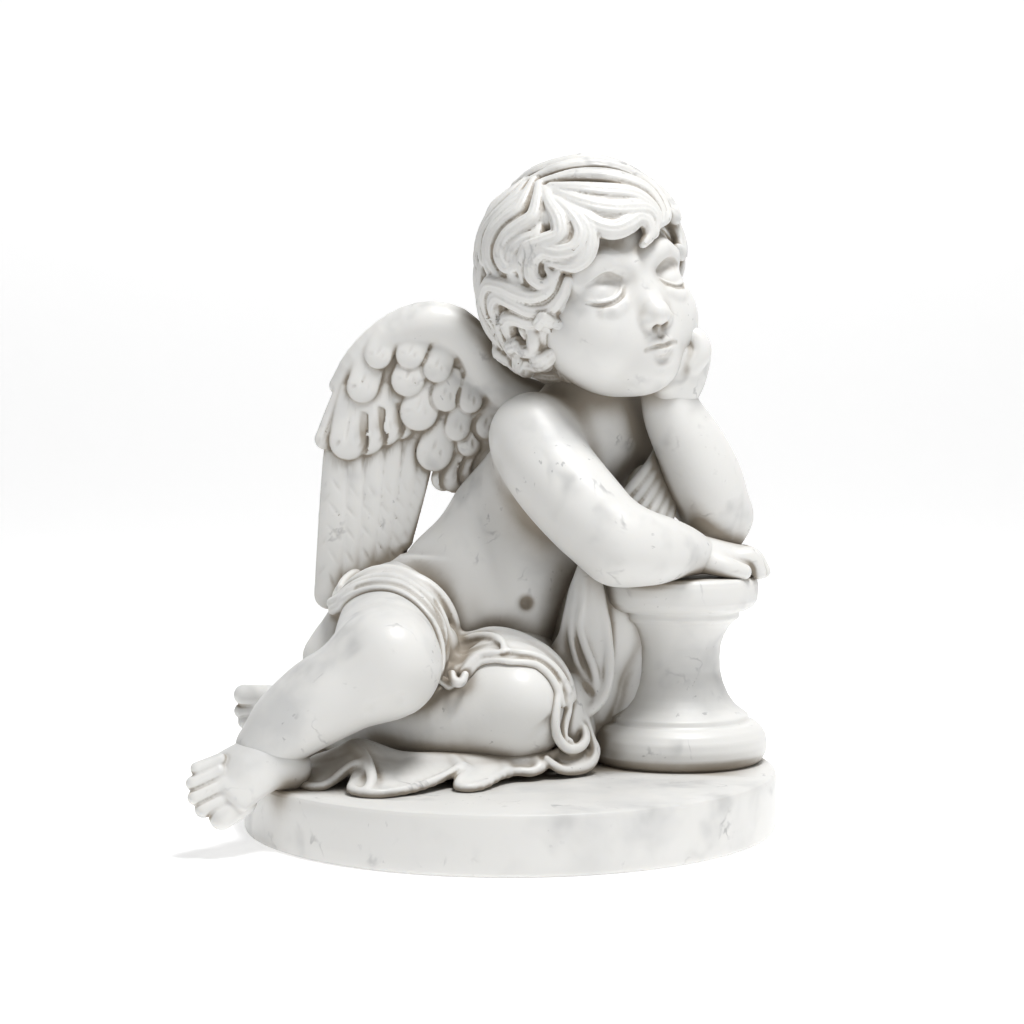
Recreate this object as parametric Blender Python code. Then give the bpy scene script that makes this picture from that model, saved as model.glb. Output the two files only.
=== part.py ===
# Marble statue of a dozing winged child. The child sits on a round plinth with the legs folded to one side,
# leans on a short turned column and rests one cheek on a hand. Figure, wings, cloth, column and plinth are
# carved from one block. The origin is the middle of the plinth's underside, +Z is up and -Y is the front.
import math

import bmesh
import bpy
import numpy as np

# Driving sizes in metres.
FIGURE_HEIGHT = 0.384
PLINTH_RADIUS = 0.166
PLINTH_HEIGHT = 0.036
PLINTH_EDGE = 0.003
COLUMN_FOOT_RADIUS = 0.057
COLUMN_WAIST_RADIUS = 0.027
COLUMN_CAP_RADIUS = 0.051

# The figure is drawn 384 units tall above the plinth's top, so one unit is one millimetre at this size.
UNIT = FIGURE_HEIGHT / 384
COLUMN_HEIGHT = 118 * UNIT
COLUMN_PLACE = (106 * UNIT, 18 * UNIT)
DRAWN_FROM = (-205, -140, -34)
DRAWN_TO = (185, 222, 404)
CARVING_STEP = 3.0
CLOTH_STEP = 3.0
FIGURE_FACES = 7100
PLINTH_SIDES = 72
COLUMN_SIDES = 44
MARBLE = (0.80, 0.79, 0.76, 1.0)
# Shares of the column's height: the roll at its foot, how far the cap stands out, where the hollow shaft
# starts, is narrowest and ends, and the cap's ring, lower edge and shoulder.
FOOT_ROLL = 0.105
CAP_OVERHANG = 0.09
SHAFT_RISES = (0.27, 0.55, 0.77)
CAP_RISES = (0.81, 0.88, 0.97)


def unit(vector):
    """The vector at length one."""
    vector = np.asarray(vector, float)
    return vector / np.linalg.norm(vector)


def spline(rows, count):
    """count rows on a smooth curve through the given rows, which may hold radii beside the coordinates."""
    rows = np.asarray(rows, float)
    if len(rows) == 2:
        t = np.linspace(0, 1, count)[:, None]
        return rows[0] * (1 - t) + rows[1] * t
    rows = np.vstack([2 * rows[0] - rows[1], rows, 2 * rows[-1] - rows[-2]])
    s = np.linspace(0, len(rows) - 3, count)
    i = np.minimum(s.astype(int), len(rows) - 4)
    t = (s - i)[:, None]
    a, b, c, d = rows[i], rows[i + 1], rows[i + 2], rows[i + 3]
    return 0.5 * (2 * b + (c - a) * t + (2 * a - 5 * b + 4 * c - d) * t**2 + (3 * b - a - 3 * c + d) * t**3)


def soft_min(a, b, k):
    """The smaller of two distances, rounded over a width of k where they are close."""
    if k <= 0:
        return np.minimum(a, b)
    h = np.maximum(k - np.abs(a - b), 0.0)
    return np.minimum(a, b) - h * h * (0.25 / k)


class Stone:
    """A block of stone as distances to its surface on a grid of points, below zero inside."""

    far = 60.0

    def __init__(self, low, high, step):
        self.low = np.asarray(low, float)
        self.step = step
        shape = np.ceil((np.asarray(high, float) - self.low) / step).astype(int) + 1
        self.d = np.full(shape, self.far, np.float32)

    def window(self, low, high):
        """The grid points between two corners, as slices and as x, y and z that broadcast together."""
        first = np.clip(np.floor((low - self.low) / self.step).astype(int), 0, self.d.shape)
        last = np.clip(np.ceil((high - self.low) / self.step).astype(int) + 1, 0, self.d.shape)
        cells = tuple(slice(a, b) for a, b in zip(first, last))
        axes = []
        for i in range(3):
            line = self.low[i] + self.step * np.arange(first[i], last[i])
            axes.append(line.astype(np.float32).reshape([-1 if j == i else 1 for j in range(3)]))
        return cells, axes

    def join(self, cells, form, k, cut):
        """Adds a form to the block, or takes it away, with an edge rounded over k."""
        if cut:
            self.d[cells] = -soft_min(-self.d[cells], form, k)
        else:
            self.d[cells] = soft_min(self.d[cells], form, k)

    def egg(self, centre, radii, axes=None, k=0.0, cut=False):
        """An ellipsoid with half sizes radii along the rows of axes."""
        centre, radii = np.asarray(centre, float), np.asarray(radii, float)
        axes = np.eye(3) if axes is None else np.asarray(axes, float)
        reach = np.sqrt(((axes * radii[:, None]) ** 2).sum(0)) + max(k, 2.5 * self.step) + 1
        cells, (x, y, z) = self.window(centre - reach, centre + reach)
        x, y, z = x - centre[0], y - centre[1], z - centre[2]
        along = [row[0] * x + row[1] * y + row[2] * z for row in axes]
        k0 = np.sqrt(sum((q / r) ** 2 for q, r in zip(along, radii)))
        k1 = np.sqrt(sum((q / r**2) ** 2 for q, r in zip(along, radii)))
        self.join(cells, k0 * (k0 - 1) / np.maximum(k1, 1e-6), k, cut)

    def sweep(self, rows, big, k, cut, section):
        """Joins one form made of the stretches between neighbouring rows, each shaped by section."""
        points = rows[:, :3]
        reach = max(k, 2.5 * self.step) + 1
        cells, _ = self.window((points - big[:, None]).min(0) - reach, (points + big[:, None]).max(0) + reach)
        form = np.full(self.d[cells].shape, self.far, np.float32)
        if form.size == 0:
            return
        for i in range(len(rows) - 1):
            a, b = points[i], points[i + 1]
            low = np.minimum(a - big[i], b - big[i + 1]) - reach
            high = np.maximum(a + big[i], b + big[i + 1]) + reach
            near, (x, y, z) = self.window(low, high)
            inner = tuple(slice(max(n.start - c.start, 0), n.stop - c.start) for n, c in zip(near, cells))
            if form[inner].size == 0:
                continue
            length = max(float(np.linalg.norm(b - a)), 1e-6)
            along = (b - a) / length
            x, y, z = x - a[0], y - a[1], z - a[2]
            s = x * along[0] + y * along[1] + z * along[2]
            t = np.clip(s / length, 0, 1)
            off = x - s * along[0], y - s * along[1], z - s * along[2]
            form[inner] = np.minimum(form[inner], section(i, t, s - t * length, off, along))
        self.join(cells, form, k, cut)

    def limb(self, points, radii, k=0.0, count=24, cut=False):
        """A round form along a smooth path, with a radius at each point."""
        radii = np.broadcast_to(np.asarray(radii, float), (len(points),))
        rows = spline(np.column_stack([points, radii]), count)

        def section(i, t, beyond, off, along):
            across = np.sqrt(off[0] ** 2 + off[1] ** 2 + off[2] ** 2 + beyond**2)
            return across - (rows[i, 3] + (rows[i + 1, 3] - rows[i, 3]) * t)

        self.sweep(rows, rows[:, 3], k, cut, section)

    def ribbon(self, points, outward, half, deep, k=0.0, count=24, grooves=0, groove_depth=0.0, cut=False):
        """A flat band along a smooth path: half wide, deep thick on each side, and facing outward."""
        half = np.broadcast_to(np.asarray(half, float), (len(points),))
        deep = np.broadcast_to(np.asarray(deep, float), (len(points),))
        outward = np.broadcast_to(np.asarray(outward, float), (len(points), 3))
        rows = spline(np.column_stack([points, half, deep, outward]), count)
        rows[:, 3:5] = np.maximum(rows[:, 3:5], 0.4)

        def section(i, t, beyond, off, along):
            face = [unit(rows[j, 5:] - along * (rows[j, 5:] @ along)) for j in (i, i + 1)]
            side = [np.cross(along, n) for n in face]
            over = sum((off[c] * face[0][c]) * (1 - t) + (off[c] * face[1][c]) * t for c in range(3))
            wide = sum((off[c] * side[0][c]) * (1 - t) + (off[c] * side[1][c]) * t for c in range(3))
            a = rows[i, 3] + (rows[i + 1, 3] - rows[i, 3]) * t
            b = rows[i, 4] + (rows[i + 1, 4] - rows[i, 4]) * t
            k0 = np.sqrt((wide / a) ** 2 + (over / b) ** 2 + (beyond / b) ** 2)
            k1 = np.sqrt((wide / a**2) ** 2 + (over / b**2) ** 2 + (beyond / b**2) ** 2)
            form = k0 * (k0 - 1) / np.maximum(k1, 1e-6)
            if grooves:
                ends = np.sin(np.pi * np.clip((i + t) / (len(rows) - 1), 0.02, 0.98)) ** 0.3
                wave = 0.5 - 0.5 * np.cos(np.pi * grooves * wide / a)
                form = form + groove_depth * ends * wave * np.clip(over / b + 0.6, 0, 1)
            return form

        self.sweep(rows, np.maximum(rows[:, 3], rows[:, 4]), k, cut, section)

    def sample(self, points):
        """The distance at each point, blended from the eight grid points round it."""
        at = np.clip((points - self.low) / self.step, 0, np.array(self.d.shape) - 1.001)
        i = at.astype(int)
        f = at - i
        total = 0.0
        for corner in np.ndindex(2, 2, 2):
            share = np.prod(np.abs(1 - np.array(corner) - f), axis=-1)
            j = i + corner
            total = total + share * self.d[j[..., 0], j[..., 1], j[..., 2]]
        return total

    def lay(self, points, gap, count):
        """A smooth path moved square to the surface until it stands gap off it, and the way it faces."""
        points = spline(points, count)
        gap = spline([(g, 0) for g in np.broadcast_to(gap, (count,))], count)[:, 0]
        for _ in range(6):
            nudge = np.eye(3) * self.step
            slope = np.stack([self.sample(points + e) - self.sample(points - e) for e in nudge], -1)
            slope = slope / np.maximum(np.linalg.norm(slope, axis=1, keepdims=True), 1e-6)
            points = points + slope * np.clip(gap - self.sample(points), -4, 4)[:, None]
        return points, slope

    def close_pinches(self):
        """Fills grid points where the surface would touch itself along an edge or at a corner."""
        for _ in range(20):
            inside = self.d < 0
            fill = np.zeros(inside.shape, bool)
            for u, v in ((0, 1), (0, 2), (1, 2)):
                def face(a, b):
                    cells = [slice(None)] * 3
                    cells[u] = slice(1, None) if a else slice(0, -1)
                    cells[v] = slice(1, None) if b else slice(0, -1)
                    return tuple(cells)
                p00, p01, p10, p11 = (inside[face(a, b)] for a, b in ((0, 0), (0, 1), (1, 0), (1, 1)))
                fill[face(0, 1)] |= p00 & p11 & ~p01 & ~p10
                fill[face(0, 0)] |= p01 & p10 & ~p00 & ~p11
            for flip in ((0, 0), (0, 1), (1, 0), (1, 1)):
                def corner(a, b, c):
                    b, c = b ^ flip[0], c ^ flip[1]
                    return tuple(slice(1, None) if n else slice(0, -1) for n in (a, b, c))
                near, far = inside[corner(0, 0, 0)], inside[corner(1, 1, 1)]
                rest = [inside[corner(*c)] for c in np.ndindex(2, 2, 2) if sum(c) in (1, 2)]
                fill[corner(1, 0, 0)] |= near & far & ~np.any(rest, axis=0)
                fill[corner(0, 0, 0)] |= ~near & ~far & np.all(rest, axis=0)
            if not fill.any():
                return
            self.d[fill] = -0.1 * self.step

    def skin(self):
        """The surface as points and four-sided faces: one point for each grid cube that the surface crosses."""
        shape = np.array(self.d.shape)
        rings, crossings = [], []
        for axis in range(3):
            u, v = (axis + 1) % 3, (axis + 2) % 3
            first = self.d[tuple(slice(0, -1) if i == axis else slice(1, -1) for i in range(3))]
            last = self.d[tuple(slice(1, None) if i == axis else slice(1, -1) for i in range(3))]
            crossed = (first < 0) != (last < 0)
            at = np.argwhere(crossed)
            d0, d1 = first[crossed], last[crossed]
            at[:, u] += 1
            at[:, v] += 1
            point = at.astype(float)
            point[:, axis] += d0 / (d0 - d1)
            ring = []
            for du, dv in ((0, 0), (-1, 0), (-1, -1), (0, -1)):
                cube = at.copy()
                cube[:, u] += du
                cube[:, v] += dv
                ring.append(np.ravel_multi_index(cube.T, shape))
            ring = np.stack(ring, 1)
            rings.append(np.where((d0 < 0)[:, None], ring, ring[:, ::-1]))
            crossings.append(np.repeat(point, 4, axis=0))
        rings, crossings = np.vstack(rings), np.vstack(crossings)
        _, index = np.unique(rings.ravel(), return_inverse=True)
        share = np.bincount(index)
        points = np.stack([np.bincount(index, weights=crossings[:, i]) / share for i in range(3)], 1)
        return self.low + self.step * points, index.reshape(rings.shape)


def largest_piece(points, faces):
    """The part of the mesh that hangs together and has the most points, without crumbs and sealed bubbles."""
    label = np.arange(len(points))
    while True:
        low = label[faces].min(1)
        new = label.copy()
        for i in range(faces.shape[1]):
            np.minimum.at(new, faces[:, i], low)
        new = new[new]
        if (new == label).all():
            break
        label = new
    keep = label == np.bincount(label).argmax()
    index = np.cumsum(keep) - 1
    return points[keep], index[faces[keep[faces[:, 0]]]]


def turned(yaw, pitch, roll):
    """Rows for left, front and up of a form that first faces -Y, in degrees."""
    yaw, pitch, roll = (math.radians(a) for a in (yaw, pitch, roll))
    left = np.array([math.cos(yaw), math.sin(yaw), 0])
    front = np.array([math.sin(yaw), -math.cos(yaw), 0])
    up = np.array([0, 0, 1])
    front, up = math.cos(pitch) * front + math.sin(pitch) * up, math.cos(pitch) * up - math.sin(pitch) * front
    tip = np.array([[math.cos(roll), 0, -math.sin(roll)], [0, 1, 0], [math.sin(roll), 0, math.cos(roll)]])
    return np.array([left, front, up]) @ tip.T


HEAD = np.array([47, 16, 307])
HEAD_WAYS = turned(33, 3, 15)
CHEST_WAYS = turned(45, -5, 0)


def head(*places):
    """Points given as left, front and up from the middle of the head."""
    return [HEAD + np.asarray(place, float) @ HEAD_WAYS for place in places]


def torso(stone):
    """Hips, belly, waist and chest as eggs blended into one trunk, with the shoulders, neck and navel."""
    stone.limb([(-70, 32, 88), (-38, 42, 78), (-6, 42, 62)], [36, 42, 40])
    stone.egg((-60, 58, 70), (42, 36, 40), k=20)
    stone.egg((-14, 68, 44), (48, 40, 44), k=20)
    stone.egg((-8, 26, 106), (43, 37, 42), k=22)
    stone.egg((8, 37, 146), (50, 37, 46), k=24)
    stone.egg((-30, 42, 122), (38, 32, 26), k=20)
    stone.egg((34, 38, 186), (51, 37, 42), CHEST_WAYS, k=24)
    stone.limb([(20, 4, 206), (50, 34, 212), (88, 62, 204)], [20, 22, 20], k=22)
    stone.limb([(50, 36, 212), (52, 30, 245), (50, 24, 275)], [28, 25, 26], k=20)
    stone.limb([(20, 66, 200), (10, 62, 170)], [14, 10], k=22)
    stone.limb([(9, -15, 103), (9.5, -4, 102)], [2.4, 2.6], k=5, cut=True)


def arms(stone):
    """The right forearm lies along the column's cap and the left one stands on it."""
    stone.limb([(14, -8, 206), (26, -20, 184), (48, -33, 158), (66, -40, 141)], [27, 28, 27, 24.5], k=14)
    stone.limb([(66, -40, 141), (84, -36, 138), (104, -20, 136), (122, 0, 133)], [23.5, 22.5, 18, 13], k=8)
    stone.limb([(90, 62, 204), (112, 46, 180), (134, 28, 155)], [24, 23, 21], k=14)
    stone.limb([(134, 24, 143), (133, 20, 160), (125, 14, 190), (109, 9, 222)], [16, 21, 20.5, 14], k=6)


def legs(stone):
    """The right knee is raised and crosses over the left leg, which lies folded on the plinth."""
    stone.limb([(-70, 28, 90), (-74, -12, 84), (-75, -50, 77), (-74, -76, 74)], [36, 33.5, 32.5, 32], k=14)
    stone.limb([(-74, -80, 72), (-93, -84, 61), (-111, -86, 51), (-130, -88, 38), (-144, -90, 25)],
               [31, 26.5, 25, 21.5, 17], k=10)
    stone.limb([(-92, -66, 64), (-112, -72, 54), (-130, -82, 40)], [22, 22, 18], k=10)
    stone.egg((-68, -95, 81), (16, 14, 15), k=12)
    stone.egg((-82, -114, 66), (6, 5, 5), k=9, cut=True)
    stone.limb([(-78, -108, 50), (-70, -110, 52), (-62, -107, 56)], [1, 1.8, 1], k=5, cut=True)
    stone.limb([(-4, 42, 58), (-2, 10, 50), (-1, -30, 43)], [40, 38, 37], k=14)
    stone.limb([(-1, -32, 38), (-40, -24, 33), (-80, -8, 28), (-116, 12, 24)], [34, 31, 26, 16], k=7)
    stone.egg((6, -56, 50), (15, 12, 14), k=12)
    stone.egg((-10, -69, 34), (5, 5, 4), k=9, cut=True)
    stone.limb([(8, -70, 26), (16, -66, 29), (24, -60, 36)], [1, 1.8, 1], k=5, cut=True)


def digits(stone, roots, tips, radii):
    """A row of toes or fingers, each a short limb."""
    for root, tip, radius in zip(roots, tips, radii):
        stone.limb([root, tip], [radius, 0.95 * radius], k=1.5)


def feet(stone):
    """The right foot hangs over the plinth's edge and the left one lies on its outer side."""
    stone.limb([(-131, -84, 12), (-142, -92, 19), (-152, -100, 14)], [14, 15, 12], k=6)
    instep = [(-138, -90, 18), (-152, -101, 13), (-164, -108, 6)]
    stone.ribbon(instep, (-0.2, -1, 0.5), [16, 19, 20], [13, 10, 7], k=6)
    roots = [(-168, -106, 20), (-168, -109, 14), (-165, -110, 7), (-161, -110, 0), (-154, -108, -4)]
    tips = [(-181.5, -111, 16), (-184, -114, 8), (-182.5, -116, 0), (-177.5, -116, -7), (-167, -115, -12)]
    digits(stone, roots, tips, (4.2, 4.4, 4.7, 5.0, 7.6))
    stone.limb([(-114, 12, 24), (-130, 16, 32), (-150, 18, 33)], [15, 14, 10], k=6)
    instep = [(-134, 15, 32), (-148, 17, 32), (-158, 18, 31)]
    stone.ribbon(instep, (0, -1, 0.1), [13, 15, 16], [10, 8, 7], k=5)
    roots = [(-154, 16, 41), (-156, 18, 33), (-155, 18, 26), (-152, 18, 20), (-149, 18, 17)]
    tips = [(-169, 17, 41.5), (-171, 19, 31), (-169, 19, 24), (-166, 19, 19), (-161, 19, 15)]
    digits(stone, roots, tips, (7.0, 5.0, 4.6, 4.3, 4.2))


def hands(stone):
    """The right palm lies on the column's cap and the left hand is curled under the cheek."""
    stone.ribbon([(118, -2, 133), (132, 8, 129), (146, 14, 126)], (0, 0, 1), [12, 17, 17], [12, 8.5, 6], k=6)
    for y, reach in ((0, 0.85), (9, 1.0), (18, 1.0), (27, 0.9)):
        finger = [(144, y, 126.5), (144 + 9 * reach, y + 1, 128), (144 + 17 * reach, y + 1, 121)]
        stone.limb(finger, [5.5, 5.0, 3.6], k=1.5)
    stone.limb([(109, 8, 222), (111, 8, 236), (115, 9, 247)], [14, 14.5, 12], k=5)
    for y in (-6, 2.5, 11, 19.5):
        finger = [(113, y, 246), (119, y, 252), (118, y + 1, 261), (111, y + 2, 270)]
        stone.limb(finger, [6.4, 6.4, 6.0, 4.8], k=1.5)
    stone.limb([(108, -4, 232), (99, -11, 239), (99, -9, 250)], [9, 8, 6], k=4)


def face(stone):
    """A dozing child's head with plain, even features: round skull, full cheeks, closed lids, short nose."""
    def egg(place, radii, k=0.0, cut=False):
        stone.egg(head(place)[0], radii, HEAD_WAYS, k=k, cut=cut)

    def limb(places, radii, k=0.0, cut=False):
        stone.limb(head(*places), radii, k=k, cut=cut)

    egg((0, -4, 6), (56, 62, 57))
    egg((0, 15, -26), (48, 41, 42), k=16)
    egg((0, 18, -47), (38, 34, 34), k=20)
    for side in (-1, 1):
        egg((side * 25, 25, -41), (22, 23, 21), k=20)
    egg((0, 37, -54), (20, 17, 14), k=12)
    egg((0, 36, -70), (16, 15.5, 12.5), k=14)
    for side in (-1, 1):
        egg((side * 23, 63, -14), (14, 12, 8), k=8, cut=True)
        limb(((side * 8, 54, -5), (side * 22, 53, -1), (side * 38, 43, -6)), (4, 5, 4), k=10)
    limb(((0, 49, -8), (0, 53, -24), (0, 59, -36)), (7, 5.8, 6), k=9)
    egg((0, 61.5, -40), (7, 6.6, 6), k=5)
    for side in (-1, 1):
        egg((side * 7, 56.5, -42.5), (4.8, 6, 4.6), k=3)
        egg((side * 24, 40.5, -19.5), (14, 12.4, 10), k=2.5)
    limb(((-12, 49.5, -58), (-5, 55.2, -55.8), (0, 55.6, -56.8), (5, 55.2, -55.8), (12, 49.5, -58)),
         (0.8, 2.9, 2.6, 2.9, 0.8), k=1.5)
    limb(((-10, 50.3, -60), (0, 55, -62), (10, 50.3, -60)), (1.2, 3.8, 1.2), k=1.5)
    egg((0, 58, -67), (8, 4, 2.6), k=4, cut=True)
    for side in (-1, 1):
        rim = head((side * 50, 6, -22), (side * 54, 2, -32), (side * 51, 6, -43), (side * 44, 13, -52))
        stone.ribbon(rim, np.array([side, 0.5, 0]) @ HEAD_WAYS, [5, 7, 6, 4.5], [5, 4.5, 4, 4], k=2)


def scalp(azimuth, rise, lift):
    """A point lift above the scalp, azimuth degrees left of the front and rise degrees up, and its outward way."""
    azimuth, rise = math.radians(azimuth), math.radians(rise)
    way = (math.sin(azimuth) * math.cos(rise), math.cos(azimuth) * math.cos(rise), math.sin(rise))
    radii = np.array([57, 63, 59]) + lift
    return head(np.array([0, -4, 7]) + way * radii)[0], unit(way / radii) @ HEAD_WAYS


def lock(stone, path, half, deep, lift):
    """One lock of hair: a grooved band through azimuth and rise pairs, narrow at its root and at its tip."""
    points, outward, wide = [], [], []
    for i, (azimuth, rise) in enumerate(path):
        t = i / (len(path) - 1)
        point, way = scalp(azimuth, rise, lift * (0.45 + 0.55 * math.sin(math.pi * min(0.75 * t + 0.1, 1))))
        points.append(point)
        outward.append(way)
        wide.append(min(1.0, 0.55 + 1.6 * t) * (1 - 0.6 * max(0, (t - 0.55) / 0.45) ** 1.5))
    wide = np.array(wide)
    stone.ribbon(points, outward, half * wide, deep * (0.6 + 0.4 * wide), k=1.0, count=6 * len(path), grooves=3,
                 groove_depth=0.9)


def hair_cap(stone):
    """The mass of the hair, open over the face."""
    stone.egg(head((0, -3, 7))[0], (59.5, 61.5, 61), HEAD_WAYS)
    stone.egg(scalp(-98, -50, -6)[0], (19, 19, 17), k=8)
    stone.egg(scalp(-135, -48, -4)[0], (17, 17, 15), k=8)
    stone.egg(scalp(-170, -44, -4)[0], (19, 17, 15), k=8)
    stone.egg(scalp(150, -40, -6)[0], (19, 17, 15), k=8)
    stone.egg(head((0, 46, -34))[0], (64, 50, 50), HEAD_WAYS, k=3, cut=True)


FRINGE = (
    ([(-39, 37), (-34, 29), (-28, 20), (-22, 12), (-14, 8), (-5, 9), (2, 11), (8, 8), (8, 1), (3, -3)], 7),
    ([(-39, 41), (-30, 31), (-20, 23), (-9, 18), (2, 16), (11, 14), (15, 8), (12, 1)], 8),
    ([(-41, 45), (-26, 37), (-12, 30), (2, 25), (11, 20), (17, 13), (17, 6)], 8.5),
    ([(-46, 52), (-20, 48), (0, 40), (13, 32), (22, 24), (24, 13), (20, 6)], 8),
    ([(-62, 60), (-28, 62), (6, 56), (23, 46), (32, 34), (34, 21), (30, 10), (22, 6)], 8),
    ([(-110, 68), (-60, 76), (20, 68), (36, 52), (42, 38), (42, 26), (36, 16)], 7),
    ([(-160, 70), (160, 82), (56, 68), (56, 52), (55, 36), (55, 22), (48, 12)], 6),
    ([(38, 40), (45, 32), (51, 23), (51, 13), (44, 9), (38, 13)], 8.5),
    ([(46, 16), (53, 8), (55, -2), (50, -10), (44, -8)], 6),
    ([(57, 16), (61, 2), (60, -14), (54, -24)], 4.5),
    ([(59, -4), (62, -20), (60, -34), (54, -40)], 3),
)
TEMPLE_WAVES = (
    ([(-43, 36), (-38, 30), (-33, 19), (-32, 10), (-37, 4), (-45, 4), (-53, 8), (-60, 5), (-63, -3), (-59, -9),
      (-53, -7), (-54, -2)], 8.5),
    ([(-41, 33), (-35, 27), (-29, 18), (-28, 8), (-33, -1), (-41, -4), (-49, -1), (-56, 3)], 7),
    ([(-46, 44), (-44, 32), (-41, 20), (-43, 12), (-52, 11), (-61, 11), (-67, 5), (-69, -3)], 9),
    ([(-50, 50), (-51, 38), (-55, 27), (-63, 24), (-72, 21), (-78, 14), (-76, 6), (-70, 5), (-68, 12)], 9.5),
    ([(-56, 56), (-60, 43), (-65, 34), (-73, 31), (-82, 26), (-87, 16), (-84, 6), (-79, 1)], 9),
    ([(-66, 62), (-70, 50), (-78, 42), (-88, 37), (-98, 30), (-99, 18), (-93, 10)], 6.5),
    ([(-84, 68), (-90, 56), (-98, 47), (-108, 38), (-112, 26), (-107, 14), (-100, 8)], 4.5),
    ([(-116, 70), (-112, 60), (-116, 49), (-122, 38), (-126, 24), (-120, 12)], 3.5),
    ([(-60, 50), (-70, 40), (-82, 33), (-90, 22), (-90, 8), (-84, -2)], 7.5),
    ([(-52, 24), (-56, 17), (-64, 16), (-72, 12), (-74, 0), (-68, -6)], 7.5),
    ([(-98, 22), (-103, 10), (-108, -2), (-104, -12), (-96, -14)], 5.5),
    ([(-116, 26), (-118, 12), (-124, 0), (-122, -12), (-114, -16)], 4),
)
EAR_CURLS = (
    ([(-46, -11), (-52, -18), (-61, -22), (-71, -19), (-79, -12), (-88, -6), (-97, -10), (-102, -20), (-100, -30)], 9),
    ([(-50, -6), (-57, -13), (-66, -13), (-74, -8), (-82, -2), (-92, 1), (-101, -4), (-108, -14), (-110, -26)], 9.5),
    ([(-55, -19), (-64, -26), (-75, -26), (-84, -20), (-91, -20), (-96, -28), (-95, -38), (-88, -42), (-83, -38)], 9),
    ([(-54, -24), (-58, -32), (-64, -36), (-64, -43), (-57, -47), (-51, -46)], 6.5),
    ([(-68, -28), (-74, -36), (-80, -44), (-88, -50), (-98, -50), (-106, -43), (-107, -35), (-102, -33)], 11),
    ([(-62, -33), (-69, -41), (-74, -50), (-82, -57), (-94, -60), (-104, -56)], 10),
    ([(-92, -10), (-102, -22), (-110, -34), (-118, -42), (-126, -40), (-128, -32)], 10),
    ([(-104, -28), (-113, -42), (-116, -54), (-108, -62), (-98, -64)], 13),
    ([(-104, 4), (-114, -6), (-121, -18), (-119, -30), (-124, -44), (-134, -52), (-142, -48)], 9),
    ([(-118, -40), (-126, -54), (-122, -66), (-108, -70)], 13),
    ([(-80, -52), (-90, -62), (-104, -68), (-120, -66)], 12),
)


def hair(stone):
    """A fringe swept to the left, waves and hooked curls over the right ear, and rows of waved locks behind."""
    for locks in (FRINGE, TEMPLE_WAVES, EAR_CURLS):
        for path, lift in locks:
            lock(stone, path, 7.0 if locks is FRINGE else 6.2, 5.0, lift)
    for row, (rise, gap) in enumerate(((62, 26), (34, 15), (8, 14), (-18, 14.5), (-40, 17))):
        around = np.arange(-134 - 0.5 * gap * (row % 2), -300, -gap)
        for j, azimuth in enumerate(around):
            way = 1 if (j + row) % 2 else -1
            sway = way * (9 + 3 * ((7 * j + 3 * row) % 3)) / math.cos(math.radians(rise))
            path = []
            for t in range(6):
                turn = math.sin(4.2 * t) * (t / 5 + 0.3) + 1.2 * max(0, t - 3.6)
                path.append((azimuth + sway * turn, rise + 8 - 8.2 * t + 7 * max(0, t - 3.4)))
            lock(stone, path, 6.5, 5.0, 4.5)


# Feathers as root x and z, tip x and z, half width and how far they stand off the wing's middle.
FLIGHT_FEATHERS = (
    (-53, 200, -72, 131, 7, 0.0), (-63, 203, -80, 114, 8, 0.7), (-75, 206, -89, 104, 8.5, 1.4),
    (-87, 209, -98, 98, 8.8, 2.1), (-100, 211, -108, 95, 9, 2.8), (-112, 216, -120.5, 93, 11, 3.5),
)
COVERTS = (
    (-36, 206, -45, 170, 8, 1.5), (-28, 204, -38, 169, 9, 2.2), (-18, 204, -27, 172, 8, 2.6), (-10, 204, -18, 175, 8, 3),
    (-104, 244, -122, 197, 6.5, 3.6), (-70, 240, -72, 203, 9, 4.4), (-79, 238, -82, 199, 11, 5.0),
    (-90, 238, -94, 193, 12, 5.6), (-99, 236, -106, 190, 11.5, 6.4), (-43, 214, -52, 183, 12, 5.2),
    (-24, 222, -27.5, 192, 8, 5.6), (-12, 224, -17, 203, 8, 6.0), (-30, 230, -35.5, 202, 8.5, 6.8),
    (-53, 240, -62, 209, 12.5, 7.4), (-88, 256, -98, 227, 10.5, 8.2), (-38, 248, -43, 221, 9.5, 8.0),
    (-60, 258, -69, 231, 11, 8.8), (-22, 246, -27, 220, 8, 8.4), (-42, 262, -50, 240, 9.5, 9.6),
    (-78, 270, -88, 249, 9, 10.2), (-58, 270, -68, 249, 9.5, 10.6),
)


def feather(stone, place, root, tip, half, stand, deep, side):
    """One feather: a domed strip whose tip stands a little prouder than its root, on one side of the wing."""
    points = []
    for t in (0, 0.2, 0.4, 0.6, 0.8, 0.93, 1):
        x = root[0] + (tip[0] - root[0]) * t
        z = root[1] + (tip[1] - root[1]) * t + (0.35 * half if t == 1 else 0)
        points.append(place(x, z, side * (0.7 * stand + 1.2 + 1.8 * t)))
    outward = (place(0, 0, 1) - place(0, 0, 0)) * side
    wide = half * np.array([1, 1.04, 1.06, 1.05, 1.0, 0.86, 0.5])
    stone.ribbon(points, outward, wide, deep * np.array([1, 1, 1, 1, 1, 0.95, 0.8]), k=0.4, count=18)


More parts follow.
